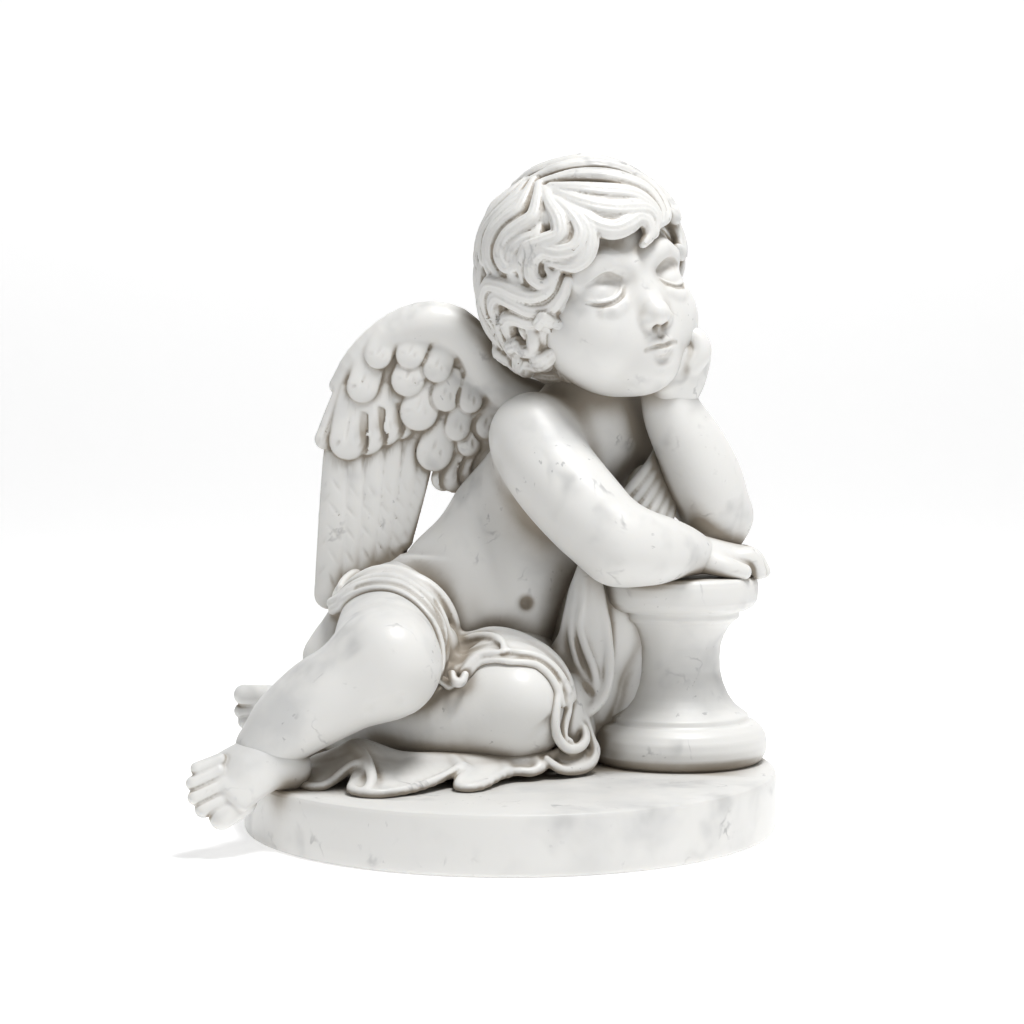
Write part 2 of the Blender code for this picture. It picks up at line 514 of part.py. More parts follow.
def wing(stone, place):
    """A wing as a round leading edge, a web and rows of feathers on both faces, set out in x and z."""
    across = place(0, 0, 1) - place(0, 0, 0)
    webs = ((((-30, 262), (-50, 235), (-80, 215)), (26, 34, 32)), (((-2, 230), (-18, 206), (-34, 192)), (13, 17, 12)),
            (((-60, 262), (-82, 250), (-100, 230)), (18, 18, 14)), (((-10, 214), (-30, 210), (-52, 204)), (14, 16, 14)))
    for line, half in webs:
        stone.ribbon([place(x, z, 0) for x, z in line], across, half, [8, 6, 4.5], k=8)
    for side in (1, -1):
        for x, z, tip_x, tip_z, half, stand in FLIGHT_FEATHERS:
            feather(stone, place, (x, z), (tip_x, tip_z), half, stand, 3.4, side)
        for x, z, tip_x, tip_z, half, stand in COVERTS:
            feather(stone, place, (x, z), (tip_x, tip_z), half, stand, 2.8, side)
    for first, second in zip(FLIGHT_FEATHERS[:-1], FLIGHT_FEATHERS[1:]):
        x, z, tip_x, tip_z = 0.5 * (np.array(first[:4]) + np.array(second[:4]))
        core = [place(x, z, 0), place(0.92 * tip_x + 0.08 * x, 0.92 * tip_z + 0.08 * z, 0)]
        stone.ribbon(core, across, 7.5, 2.2)
    for line, half in webs:
        stone.ribbon([place(x, z, 0) for x, z in line], across, half, 3.6)
    edge = [(16, 224), (0, 232), (-14, 244), (-24, 262), (-40, 275), (-60, 276), (-80, 268), (-98, 254), (-111, 238)]
    stone.limb([place(x, z, 0) for x, z in edge], [17, 15, 14.5, 15, 15.5, 15, 12.5, 9.5, 6], k=2)
    stone.limb([place(x, z, 0) for x, z in ((14, 220), (2, 205), (-8, 190))], [12, 10, 7], k=8)


def right_wing(stone):
    """The right wing stands behind the right shoulder and faces the front."""
    wing(stone, right_wing_place)


def right_wing_place(x, z, out):
    """A point out in front of the right wing's middle, which bows back towards its tips."""
    return np.array([x, 47 + 0.0007 * (x + 50) ** 2 + 0.03 * (230 - z) - out, z])


def left_wing(stone):
    """The left wing mirrors the right one in the plane that halves the chest."""
    def place(x, z, out):
        point = right_wing_place(x, z, out)
        across = np.array([math.sqrt(0.5), math.sqrt(0.5), 0])
        return point - 2 * ((point - (36, 38, 0)) @ across) * across
    wing(stone, place)


def between(first, last, share):
    """The points a share of the way from one path to another, twelve of each."""
    return (1 - share) * spline(first, 12) + share * spline(last, 12)


def fold(stone, skin, points, radii, gap, k=3.0):
    """A rolled fold laid over the skin, its middle standing gap off it."""
    count = 6 * len(points)
    path, _ = skin.lay(points, gap, count)
    stone.limb(path, spline([(r, 0) for r in radii], count)[:, 0], k=k, count=count)


def sheet(stone, skin, points, half, deep, gap, k=2.0):
    """A strip of cloth laid flat over the skin."""
    count = 6 * len(points)
    path, outward = skin.lay(points, gap, count)
    half = spline([(h, 0) for h in np.broadcast_to(half, (len(points),))], count)[:, 0]
    stone.ribbon(path, outward, half, deep, k=k, count=count)


def cloth(stone):
    """One length of cloth: round the hips, over the lap, down beside the column, spread on the plinth,
    and up behind the left arm."""
    skin = Stone(DRAWN_FROM, DRAWN_TO, CLOTH_STEP)
    torso(skin)
    legs(skin)
    cloth_behind(stone, skin)
    cloth_beside_column(stone)
    cloth_on_plinth(stone)
    cloth_on_hip(stone, skin)
    cloth_on_lap(stone, skin)
    cloth_beside_knee(stone)
    cloth_on_chest(stone)


def cloth_behind(stone, skin):
    """The fall of cloth behind the hips, in broad upright folds down to the plinth."""
    stone.egg((-40, 50, 40), (64, 44, 50), k=8)
    stone.egg((28, 40, 44), (34, 34, 44), k=10)
    hem = ((-112, 22), (-108, 40), (-97, 57), (-82, 71), (-62, 83), (-40, 92), (-16, 98), (8, 97), (31, 88), (50, 70))
    for i, (x, y) in enumerate(hem):
        top = 102 - 2.2 * i
        bulge = 6 + 3 * math.sin(2.1 * i)
        lean = 5 * math.sin(1.3 * i)
        out = unit((x + 30, y - 20, 0))
        foot = np.array([x, y, 0])
        path = [foot - 14 * out + (0, 0, top), foot + (lean, 0, top - 24)]
        path += [foot + 0.5 * bulge * out + (-lean, 0, 0.45 * top)]
        path += [foot + bulge * out + (0, 0, 12), foot + (bulge + 6) * out + (0, 0, 1)]
        stone.limb(path, [4, 6, 7, 7.5, 8], k=5)
    band = [(-106, 26, 100), (-96, 48, 108), (-74, 70, 108), (-40, 88, 100), (-4, 98, 92), (28, 90, 88), (50, 60, 90),
            (50, 20, 92)]
    sheet(stone, skin, band, 9, 5, 1, k=4)
    for rise, radius in ((8, 3.2), (1, 2.6), (-7, 3.0)):
        fold(stone, skin, [(x, y, z + rise) for x, y, z in band], [2, 3, radius, radius, radius, radius, 3, 2], 4.5)


def cloth_on_hip(stone, skin):
    """The band over the root of the right thigh: a rolled upper hem, a thin lower one, folds between that gather
    in a knot at the left end and run down into the pocket between the thighs."""
    hem = [(-110, 16, 102), (-99, 10, 112), (-88, 6, 118), (-76, 1, 121), (-62, -6, 119), (-50, -8, 112),
           (-42, -10, 105), (-36, -11, 95), (-33, -12, 85), (-30, -18, 78)]
    low = [(-111, 10, 98), (-103, -8, 101), (-92, -27, 107), (-80, -36, 110), (-69, -41, 109), (-60, -47, 104),
           (-53, -52, 98), (-47, -54, 92), (-43, -56, 84), (-40, -58, 75), (-38, -60, 67), (-35, -61, 61)]
    for share in (0.2, 0.5, 0.8):
        sheet(stone, skin, between(hem, low, share), [4, 6, 7, 8, 8, 8, 8, 7.5, 7, 6.5, 6, 5], 3.0, 0.3, k=4)
    fold(stone, skin, between(hem, low, 0.72), [3, 3, 2.6, 2.2, 2, 2.4, 3, 3.6, 4, 4, 3.6, 3], 2.0, k=5)
    fold(stone, skin, between(hem, low, 0.45), [3.2, 3.2, 2.6, 1.8, 1.4, 1.6, 2.6, 3.2, 3.6, 3.6, 3.2, 2.6], 2.6, k=4)
    fold(stone, skin, between(hem, low, 0.0), [3.4, 3.4, 3.3, 3.3, 3.2, 3.2, 3.4, 3.6, 3.6, 3.6, 3.4, 3.2], 1.6, k=2.5)
    fold(stone, skin, between(hem, low, 0.98), [3.0, 2.6, 2.0, 1.8, 1.8, 1.9, 2.1, 2.3, 2.5, 2.7, 2.8, 2.8], 1.2, k=1.5)
    stone.egg((-38, -22, 74), (7, 18, 14), k=5)
    knot = [(-112, 8, 101), (-106, 2, 104), (-98, -9, 107), (-89, -16, 111)]
    stone.limb(knot, [3.6, 3.4, 2.8, 1.2], k=1.5)
    stone.limb([(-111, 4, 97), (-104, -6, 101), (-97, -18, 105)], [3.4, 3.0, 1.4], k=1.5)
    fall = [(-108, 12, 97), (-112, 13, 86), (-116, 12, 76), (-119, 10, 66), (-117, 8, 56)]
    stone.ribbon(fall, (-0.3, -1, 0), [5, 8, 11, 13, 11], [4, 5, 5, 5, 5], k=4)
    stone.limb(fall, [2.6, 3.2, 3.4, 3.6, 3], k=2)
    stone.limb([(x + 8, y - 4, z) for x, y, z in fall], [2.4, 2.8, 3, 3.2, 3], k=2)


def cloth_on_lap(stone, skin):
    """Folds that fan from the pocket between the thighs and cross the root of the left thigh."""
    upper = [(-29, -10, 81), (-21, -12, 82), (-12, -15, 84), (-2, -20, 84), (8, -27, 82), (15, -32, 79), (22, -33, 74),
             (28, -36, 67), (32, -38, 58), (34, -40, 48)]
    lower = [(-34, -61, 62), (-30, -60, 67), (-21, -54, 72), (-10, -55, 73), (0, -58, 72), (8, -57, 71), (16, -54, 69),
             (23, -54, 63), (29, -54, 54), (31, -53, 46)]
    for share in (0.15, 0.45, 0.75):
        sheet(stone, skin, between(upper, lower, share), [5, 6, 7, 8, 8, 8, 8, 8, 8, 7, 7, 6], 3.0, 0.6, k=4)
    fold(stone, skin, upper, [3.2, 3.2, 3.2, 3.2, 3.2, 3.4, 3.4, 3.6, 3.6, 3.4], 2.2, k=4)
    fold(stone, skin, lower, [3.2, 2.8, 2.2, 2.0, 2.0, 2.1, 2.3, 2.6, 2.8, 3.0], 1.6, k=1.5)
    ridge = [(-3, -50, 76), (5, -52, 75), (12, -51, 74), (20, -49, 70), (27, -48, 62), (32, -47, 52)]
    fold(stone, skin, ridge, [1.2, 2.2, 2.4, 2.6, 2.8, 2.8], 4.0, k=2)
    loop = [(-31, -14, 76), (-26, -16, 78), (-18, -21, 81), (-10, -32, 82), (-5, -44, 80), (-3, -52, 76)]
    fold(stone, skin, loop, [2.8, 3.0, 3.0, 3.0, 2.8, 2.0], 4.2, k=1.5)
    turn = [(-4, -52, 75), (-9, -52, 75), (-17, -50, 74), (-24, -52, 71), (-30, -56, 66)]
    fold(stone, skin, turn, [1.4, 2.2, 2.6, 2.8, 2.6], 4.2, k=1.5)
    pocket = [(-35, -58, 64), (-33, -62, 60), (-29, -62, 60), (-27, -60, 64)]
    stone.limb(pocket, [2.8, 3.0, 3.0, 2.4], k=2)


def cloth_beside_knee(stone):
    """The fall to the right of the left knee, pleated in a zigzag at its foot."""
    stone.egg((37, -16, 30), (12, 24, 30), k=4)
    stone.egg((40, 0, 20), (14, 34, 22), k=4)
    left = [(29, -52, 56), (28, -57, 46), (27, -58, 35), (29, -56, 25), (35, -52, 18), (42, -46, 18), (46, -40, 22),
            (45, -36, 28), (41, -34, 31)]
    stone.limb(left, [2.6, 2.8, 3.0, 3.0, 3.2, 3.2, 3.0, 2.6, 1.6], k=1.5, count=60)
    middle = [(35, -45, 50), (35, -46, 41), (33, -48, 32), (33, -50, 25), (37, -48, 22)]
    stone.limb(middle, [2.6, 2.8, 2.6, 2.2, 1.6], k=2)
    right = [(38, -34, 46), (42, -32, 38), (46, -30, 32), (49, -32, 22), (52, -34, 14), (49, -40, 7), (41, -48, 4.5),
             (32, -54, 5.5), (26, -56, 9), (22, -56, 13)]
    stone.limb(right, [2.4, 2.8, 3.0, 3.2, 3.4, 3.2, 3.0, 2.8, 2.8, 2.0], k=1.5, count=60)
    stone.ribbon([(30, -48, 12), (40, -42, 10), (48, -30, 10)], (0.4, -0.7, 0.7), [7, 9, 7], [3, 4, 4], k=3)


def cloth_beside_column(stone):
    """The end that hangs from the forearm between the belly and the column and swings up again in a loop."""
    stone.egg((50, 22, 62), (24, 32, 62), k=10)
    stone.egg((62, 10, 90), (22, 18, 34), k=10)
    left = [(44, -10, 124), (39, -11, 108), (36, -11, 93), (33, -9, 82), (28, -6, 73), (30, -10, 66), (36, -14, 57),
            (38, -18, 47), (38, -22, 40)]
    right = [(53, -10, 120), (56, -12, 107), (58, -14, 95), (60, -15, 82), (61, -17, 68), (60, -19, 55), (56, -22, 45),
             (49, -25, 38), (42, -26, 36), (37, -24, 41)]
    for share, deep in ((0.2, 4), (0.5, 4), (0.8, 4)):
        stone.ribbon(between(left, right, share), (0, -1, 0), [4, 6, 7, 8, 8, 8, 8, 8, 8, 7, 6, 5], deep, k=4, count=50)
    stone.limb(right, [2.6, 3.0, 3.2, 3.4, 3.6, 3.8, 4.0, 4.0, 3.8, 3.0], k=1.5, count=70)
    stone.limb(left, [2.4, 2.8, 3.0, 3.0, 2.8, 2.6, 3.0, 3.2, 3.0], k=2, count=60)
    middle = [(47, -13, 120), (45, -15, 104), (43, -16, 90), (46, -18, 77), (51, -20, 64), (53, -21, 53), (52, -23, 45)]
    stone.limb(middle, [2.2, 2.6, 2.8, 2.8, 2.8, 2.6, 2.0], k=2, count=50)
    inner = [(41, -13, 111), (39, -14, 98), (38, -15, 84), (40, -16, 71), (44, -18, 60), (49, -21, 51)]
    stone.limb(inner, [1.8, 2.2, 2.4, 2.4, 2.2, 1.6], k=2, count=50)


def cloth_on_plinth(stone):
    """Cloth spread under the legs with a rolled hem that wanders to and fro, and pleats that rise from it."""
    hem = [(-124, -52, 3), (-127, -68, 3), (-124, -83, 2.5), (-117, -92, 2.5), (-110, -94, 3), (-104, -90, 5.5),
           (-98, -86, 9.5), (-93, -84, 13), (-88, -86, 14.5), (-84.5, -89, 11.5), (-86, -95, 7.5), (-91, -101, 5),
           (-91, -109, 3.5), (-84, -116, 3), (-74, -118, 3), (-64, -113, 3.5), (-54, -106, 4.5), (-45, -96, 6),
           (-37, -86, 8), (-30, -77, 10), (-25, -73, 9.5), (-25, -80, 7.5), (-29, -89, 5), (-30, -97, 3.5),
           (-24, -100, 3), (-16, -94, 3.5), (-9, -80, 5), (-2, -69, 6.5), (6, -64, 6.5), (13, -63, 6), (19, -57, 8),
           (23, -54, 11)]
    inner = [(-112, -46, 10), (-108, -50, 11), (-100, -54, 14), (-92, -56, 17), (-84, -56, 16), (-70, -56, 12),
             (-56, -54, 11), (-40, -52, 11), (-24, -52, 11), (-8, -48, 11), (8, -44, 12), (20, -36, 12)]
    stone.ribbon(inner, (0, 0, 1), 14, [5, 6, 7, 8, 7, 6, 5, 5, 5, 5, 5, 5], k=4, count=60)
    outer, back = spline(hem, 56), spline(inner, 56)
    for foot, root in zip(outer, back):
        path = [root, 0.5 * (root + foot) + (0, 0, 0.6), foot - (0, 0, 0.8)]
        stone.ribbon(path, (0, 0.1, 1), [5, 4, 3.2], [4, 2.6, 1.8], k=2.4, count=10)
    stone.limb(hem, [2.4] * 6 + [3.0] * 5 + [2.7] * 8 + [3.0] * 4 + [2.5] * 6 + [2.8] * 3, k=1.2, count=150)
    ridge = [(-94, -60, 21), (-87, -76, 18), (-82, -94, 13.5), (-80, -106, 8), (-82, -115, 4)]
    stone.limb(ridge, [3.5, 3.4, 3.2, 3.0, 2.4], k=3)
    stone.limb([(-34, -60, 13), (-31, -70, 12), (-29, -77, 10)], [1.6, 2.6, 2.4], k=4)
    stone.limb([(-3, -54, 12), (-3, -62, 9), (-2, -69, 6.5)], [1.2, 2.2, 2.0], k=4)
    stone.limb([(12, -48, 14), (16, -55, 11), (18, -59, 8)], [1.2, 2.2, 2.0], k=4)


def cloth_on_chest(stone):
    """Folds that climb from behind the right forearm to the left armpit."""
    stone.egg((86, 20, 154), (17, 17, 36), k=6)
    stone.egg((76, 14, 140), (20, 16, 20), k=6)
    for i in range(6):
        across, drop = 5.6 * i, -5.0 * i
        path = [(50 + across, -7, 146 + drop), (62 + across, -4, 159 + drop), (75 + 0.8 * across, 2, 173 + drop)]
        path += [(88 + 0.5 * across, 13, 188 + drop), (95 + 0.3 * across, 30, 199 + 0.8 * drop)]
        stone.limb(path, [2.6, 3.0, 3.2, 3.2, 2.8], k=1.5)


def mesh_object(name, points, faces):
    """A smooth shaded object from points in metres."""
    mesh = bpy.data.meshes.new(name)
    mesh.from_pydata([tuple(map(float, p)) for p in points], [], [tuple(map(int, f)) for f in faces])
    mesh.shade_smooth()
    made = bpy.data.objects.new(name, mesh)
    bpy.context.scene.collection.objects.link(made)
    return made


def turned_form(name, profile, sides, place):
    """A solid turned about an upright axis from radius and height pairs that run up its outside."""
    form = bmesh.new()
    rings = []
    for radius, height in profile:
        turns = [2 * math.pi * i / sides for i in range(sides)]
        rings.append([form.verts.new((radius * math.cos(a), radius * math.sin(a), height)) for a in turns])
    for low, high in zip(rings, rings[1:]):
        for i in range(sides):
            j = (i + 1) % sides
            form.faces.new((low[i], low[j], high[j], high[i]))
    form.faces.new(rings[0][::-1])
    form.faces.new(rings[-1])
    mesh = bpy.data.meshes.new(name)
    form.to_mesh(mesh)
    form.free()
    made = bpy.data.objects.new(name, mesh)
    made.location = place
    made.hide_render = True
    made.display_type = 'WIRE'
    bpy.context.scene.collection.objects.link(made)
    return made


def round_edge(radius, height, size, up):
    """Three points of a rounded edge on a turned solid, at its foot or its top."""
    turns = (0, 45, 90) if up else (-90, -45, 0)
    middle = height - size if up else height + size
    return [(radius - size + size * math.cos(math.radians(a)), middle + size * math.sin(math.radians(a)))
            for a in turns]


def column_profile():
    """Torus foot, fillet, hollow shaft, ring and rounded cap, as shares of the column's height."""
    foot, waist, cap, tall = COLUMN_FOOT_RADIUS, COLUMN_WAIST_RADIUS, COLUMN_CAP_RADIUS, COLUMN_HEIGHT
    roll = FOOT_ROLL * tall
    profile = [(foot - roll, -0.5 * PLINTH_HEIGHT), (foot - roll, 0.0)]
    for degrees in (-45, 0, 45):
        a = math.radians(degrees)
        profile.append((foot - roll + roll * math.cos(a), roll + roll * math.sin(a)))
    fillet = foot - 0.8 * roll
    neck = cap - CAP_OVERHANG * tall
    low, middle, high = (share * tall for share in SHAFT_RISES)
    profile += [(fillet, 2.05 * roll), (fillet, low - 0.015 * tall)]
    for share in (0.0, 0.2, 0.5):
        rise = low + (middle - low) * share
        profile.append((waist + (fillet - 0.03 * tall - waist) * (1 - share) ** 2.2, rise))
    for share in (0.0, 0.6, 1.0):
        rise = middle + (high - middle) * share
        profile.append((waist + (neck - waist) * share**2, rise))
    ring, edge, shoulder = (share * tall for share in CAP_RISES)
    profile += [(neck, ring), (cap - 0.05 * tall, 1.005 * ring), (cap, edge), (cap, shoulder)]
    return profile + [(cap - 0.02 * tall, tall)]


def stone_skin():
    """Marble: near white, dense, with a soft polish."""
    marble = bpy.data.materials.new('marble')
    marble.use_nodes = True
    shader = marble.node_tree.nodes['Principled BSDF']
    shader.inputs['Base Color'].default_value = MARBLE
    shader.inputs['Roughness'].default_value = 0.38
    shader.inputs['Metallic'].default_value = 0.0
    return marble


def putto_statue():
    """The carved figure joined with the turned plinth and column into one solid."""
    stone = Stone(DRAWN_FROM, DRAWN_TO, CARVING_STEP)
    for carve in (hair_cap, torso, arms, legs, feet, hands, face, hair, right_wing, left_wing, cloth):
        carve(stone)
    stone.close_pinches()
    points, faces = largest_piece(*stone.skin())
    statue = mesh_object('putto_statue', points * UNIT + (0, 0, PLINTH_HEIGHT), faces)
    statue.data.materials.append(stone_skin())
    fewer = statue.modifiers.new('fewer faces', 'DECIMATE')
    fewer.ratio = FIGURE_FACES / (2 * len(faces))
    plinth_profile = round_edge(PLINTH_RADIUS, 0, 0.5 * PLINTH_EDGE, False)
    plinth_profile += round_edge(PLINTH_RADIUS, PLINTH_HEIGHT, PLINTH_EDGE, True)
    plinth = turned_form('plinth_form', plinth_profile, PLINTH_SIDES, (0, 0, 0))
    column = turned_form('column_form', column_profile(), COLUMN_SIDES, (*COLUMN_PLACE, PLINTH_HEIGHT))
    for form in (plinth, column):
        union = statue.modifiers.new(form.name, 'BOOLEAN')
        union.operation = 'UNION'
        union.solver = 'EXACT'
        union.object = form


for old in list(bpy.data.objects):
    bpy.data.objects.remove(old)
putto_statue()
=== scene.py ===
# A winged child dozing at a low column, carved with its round plinth from one block of white marble.
# Each part of the carving is made below as a closed skin and the plain solid block gives way to them all.
import math

import bpy
import numpy as np
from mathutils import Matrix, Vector


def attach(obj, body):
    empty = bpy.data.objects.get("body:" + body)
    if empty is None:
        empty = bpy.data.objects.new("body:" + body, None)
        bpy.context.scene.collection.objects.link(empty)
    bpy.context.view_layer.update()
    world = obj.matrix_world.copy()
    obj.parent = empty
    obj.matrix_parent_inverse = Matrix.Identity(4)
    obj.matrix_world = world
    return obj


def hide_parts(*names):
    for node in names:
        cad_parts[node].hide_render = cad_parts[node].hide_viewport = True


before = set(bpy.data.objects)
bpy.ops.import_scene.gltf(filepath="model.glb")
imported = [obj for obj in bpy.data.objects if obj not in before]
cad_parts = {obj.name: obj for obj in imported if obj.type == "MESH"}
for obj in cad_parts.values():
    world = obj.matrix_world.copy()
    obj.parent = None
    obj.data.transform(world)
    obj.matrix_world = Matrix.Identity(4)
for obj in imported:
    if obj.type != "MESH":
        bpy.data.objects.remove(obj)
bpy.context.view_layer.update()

# The trunk, shoulders and arms: bare stone, rubbed smooth, leaning on the column to the right. They are
# cut from the block as round forms that run into each other, so they are worked out here as distances to
# the stone's surface on a grid of points, in millimetres above the plinth's top.


def unit(vector):
    """The vector at length one."""
    vector = np.asarray(vector, float)
    return vector / np.linalg.norm(vector)


def spline(rows, count):
    """count rows on a smooth curve through the given rows, which may hold radii beside the coordinates."""
    rows = np.asarray(rows, float)
    if len(rows) == 2:
        t = np.linspace(0, 1, count)[:, None]
        return rows[0] * (1 - t) + rows[1] * t
    rows = np.vstack([2 * rows[0] - rows[1], rows, 2 * rows[-1] - rows[-2]])
    s = np.linspace(0, len(rows) - 3, count)
    i = np.minimum(s.astype(int), len(rows) - 4)
    t = (s - i)[:, None]
    a, b, c, d = rows[i], rows[i + 1], rows[i + 2], rows[i + 3]
    return 0.5 * (2 * b + (c - a) * t + (2 * a - 5 * b + 4 * c - d) * t**2 + (3 * b - a - 3 * c + d) * t**3)


def eased(values, count):
    """count numbers on a smooth curve through the given ones."""
    return spline(np.reshape(values, (-1, 1)), count)[:, 0]


def soft_min(a, b, k):
    """The smaller of two distances, rounded over a width of k where they are close."""
    if k <= 0:
        return np.minimum(a, b)
    h = np.maximum(k - np.abs(a - b), 0.0)
    return np.minimum(a, b) - h * h * (0.25 / k)


class Stone:
    """A block of stone as distances to its surface on a grid of points, below zero inside."""

    far = 60.0

    def __init__(self, low, high, step):
        self.low = np.asarray(low, float)
        self.step = step
        shape = np.ceil((np.asarray(high, float) - self.low) / step).astype(int) + 1
        self.d = np.full(shape, self.far, np.float32)

    def window(self, low, high):
        """The grid points between two corners, as slices and as x, y and z that broadcast together."""
        first = np.clip(np.floor((low - self.low) / self.step).astype(int), 0, self.d.shape)
        last = np.clip(np.ceil((high - self.low) / self.step).astype(int) + 1, 0, self.d.shape)
        cells = tuple(slice(a, b) for a, b in zip(first, last))
        axes = []
        for i in range(3):
            line = self.low[i] + self.step * np.arange(first[i], last[i])
            axes.append(line.astype(np.float32).reshape([-1 if j == i else 1 for j in range(3)]))
        return cells, axes

    def join(self, cells, form, k, cut):
        """Adds a form to the block, or takes it away, with an edge rounded over k."""
        if cut:
            self.d[cells] = -soft_min(-self.d[cells], form, k)
        else:
            self.d[cells] = soft_min(self.d[cells], form, k)

    def egg(self, centre, radii, axes=None, k=0.0, cut=False):
        """An ellipsoid with half sizes radii along the rows of axes."""
        centre, radii = np.asarray(centre, float), np.asarray(radii, float)
        axes = np.eye(3) if axes is None else np.asarray(axes, float)
        reach = np.sqrt(((axes * radii[:, None]) ** 2).sum(0)) + max(k, 2.5 * self.step) + 1
        cells, (x, y, z) = self.window(centre - reach, centre + reach)
        x, y, z = x - centre[0], y - centre[1], z - centre[2]
        along = [row[0] * x + row[1] * y + row[2] * z for row in axes]
        k0 = np.sqrt(sum((q / r) ** 2 for q, r in zip(along, radii)))
        k1 = np.sqrt(sum((q / r**2) ** 2 for q, r in zip(along, radii)))
        self.join(cells, k0 * (k0 - 1) / np.maximum(k1, 1e-6), k, cut)

    def sweep(self, rows, big, k, cut, section):
        """Joins one form made of the stretches between neighbouring rows, each shaped by section."""
        points = rows[:, :3]
        reach = max(k, 2.5 * self.step) + 1
        low, high = (points - big[:, None]).min(0) - reach, (points + big[:, None]).max(0) + reach
        cells, _ = self.window(low, high)
        form = np.full(self.d[cells].shape, self.far, np.float32)
        if form.size == 0:
            return
        for i in range(len(rows) - 1):
            a, b = points[i], points[i + 1]
            low = np.minimum(a - big[i], b - big[i + 1]) - reach
            high = np.maximum(a + big[i], b + big[i + 1]) + reach
            near, (x, y, z) = self.window(low, high)
            inner = tuple(slice(max(n.start - c.start, 0), n.stop - c.start) for n, c in zip(near, cells))
            if form[inner].size == 0:
                continue
            length = max(float(np.linalg.norm(b - a)), 1e-6)
            along = (b - a) / length
            x, y, z = x - a[0], y - a[1], z - a[2]
            s = x * along[0] + y * along[1] + z * along[2]
            t = np.clip(s / length, 0, 1)
            off = x - s * along[0], y - s * along[1], z - s * along[2]
            form[inner] = np.minimum(form[inner], section(i, t, s - t * length, off, along))
        self.join(cells, form, k, cut)

    def limb(self, points, radii, k=0.0, count=24, cut=False):
        """A round form along a smooth path, with a radius at each point."""
        radii = np.broadcast_to(np.asarray(radii, float), (len(points),))
        rows = spline(np.column_stack([points, radii]), count)

        def section(i, t, beyond, off, along):
            across = np.sqrt(off[0] ** 2 + off[1] ** 2 + off[2] ** 2 + beyond**2)
            return across - (rows[i, 3] + (rows[i + 1, 3] - rows[i, 3]) * t)

        self.sweep(rows, rows[:, 3], k, cut, section)

    def ribbon(self, points, outward, half, deep, k=0.0, count=24, grooves=0, groove_depth=0.0, cut=False):
        """A flat band along a smooth path: half wide, deep thick on each side, and facing outward."""
        half = np.broadcast_to(np.asarray(half, float), (len(points),))
        deep = np.broadcast_to(np.asarray(deep, float), (len(points),))
        outward = np.broadcast_to(np.asarray(outward, float), (len(points), 3))
        rows = spline(np.column_stack([points, half, deep, outward]), count)
        rows[:, 3:5] = np.maximum(rows[:, 3:5], 0.4)

        def section(i, t, beyond, off, along):
            face = [unit(rows[j, 5:] - along * (rows[j, 5:] @ along)) for j in (i, i + 1)]
            side = [np.cross(along, n) for n in face]
            over = sum((off[c] * face[0][c]) * (1 - t) + (off[c] * face[1][c]) * t for c in range(3))
            wide = sum((off[c] * side[0][c]) * (1 - t) + (off[c] * side[1][c]) * t for c in range(3))
            a = rows[i, 3] + (rows[i + 1, 3] - rows[i, 3]) * t
            b = rows[i, 4] + (rows[i + 1, 4] - rows[i, 4]) * t
            k0 = np.sqrt((wide / a) ** 2 + (over / b) ** 2 + (beyond / b) ** 2)
            k1 = np.sqrt((wide / a**2) ** 2 + (over / b**2) ** 2 + (beyond / b**2) ** 2)
            form = k0 * (k0 - 1) / np.maximum(k1, 1e-6)
            if grooves:
                ends = np.sin(np.pi * np.clip((i + t) / (len(rows) - 1), 0.02, 0.98)) ** 0.3
                wave = 1 - np.abs(np.cos(0.5 * np.pi * grooves * wide / a))
                form = form + groove_depth * ends * wave * np.clip(over / b + 0.6, 0, 1)
            return form

        self.sweep(rows, np.maximum(rows[:, 3], rows[:, 4]), k, cut, section)

    def turned(self, profile, place):
        """A form turned about an upright axis, from rows of radius and height that go up."""
        rows = np.array(profile, float)
        cells, (x, y, z) = self.window(self.low, self.low + self.step * np.array(self.d.shape))
        radius = np.interp(z, rows[1:-1, 1], rows[1:-1, 0])
        across = np.sqrt((x - place[0]) ** 2 + (y - place[1]) ** 2) - radius
        upright = np.maximum(z - rows[-1, 1], rows[0, 1] - z)
        self.join(cells, np.maximum(across, upright), 0, False)

    def sample(self, points):
        """The distance at each point, blended from the eight grid points round it."""
        at = np.clip((points - self.low) / self.step, 0, np.array(self.d.shape) - 1.001)
        i = at.astype(int)
        f = at - i
        total = 0.0
        for corner in np.ndindex(2, 2, 2):
            share = np.prod(np.abs(1 - np.array(corner) - f), axis=-1)
            j = i + corner
            total = total + share * self.d[j[..., 0], j[..., 1], j[..., 2]]
        return total

    def lay(self, points, gap, count):
        """A smooth path moved square to the surface until it stands gap off it, and the way it faces."""
        points = spline(points, count)
        gap = eased(np.broadcast_to(gap, (count,)), count)
        for _ in range(6):
            nudge = np.eye(3) * self.step
            slope = np.stack([self.sample(points + e) - self.sample(points - e) for e in nudge], -1)
            slope = slope / np.maximum(np.linalg.norm(slope, axis=1, keepdims=True), 1e-6)
            points = points + slope * np.clip(gap - self.sample(points), -4, 4)[:, None]
        return points, slope

    def settle(self, points):
        """The skin's points drawn onto the surface, down the slope of the distances."""
        for _ in range(2):
            nudge = np.eye(3) * 0.5 * self.step
            slope = np.stack([self.sample(points + e) - self.sample(points - e) for e in nudge], -1)
            slope = slope / self.step
            steep = np.maximum((slope**2).sum(1, keepdims=True), 0.2)
            move = -self.sample(points)[:, None] * slope / steep
            points = points + np.clip(move, -0.4 * self.step, 0.4 * self.step)
        return points

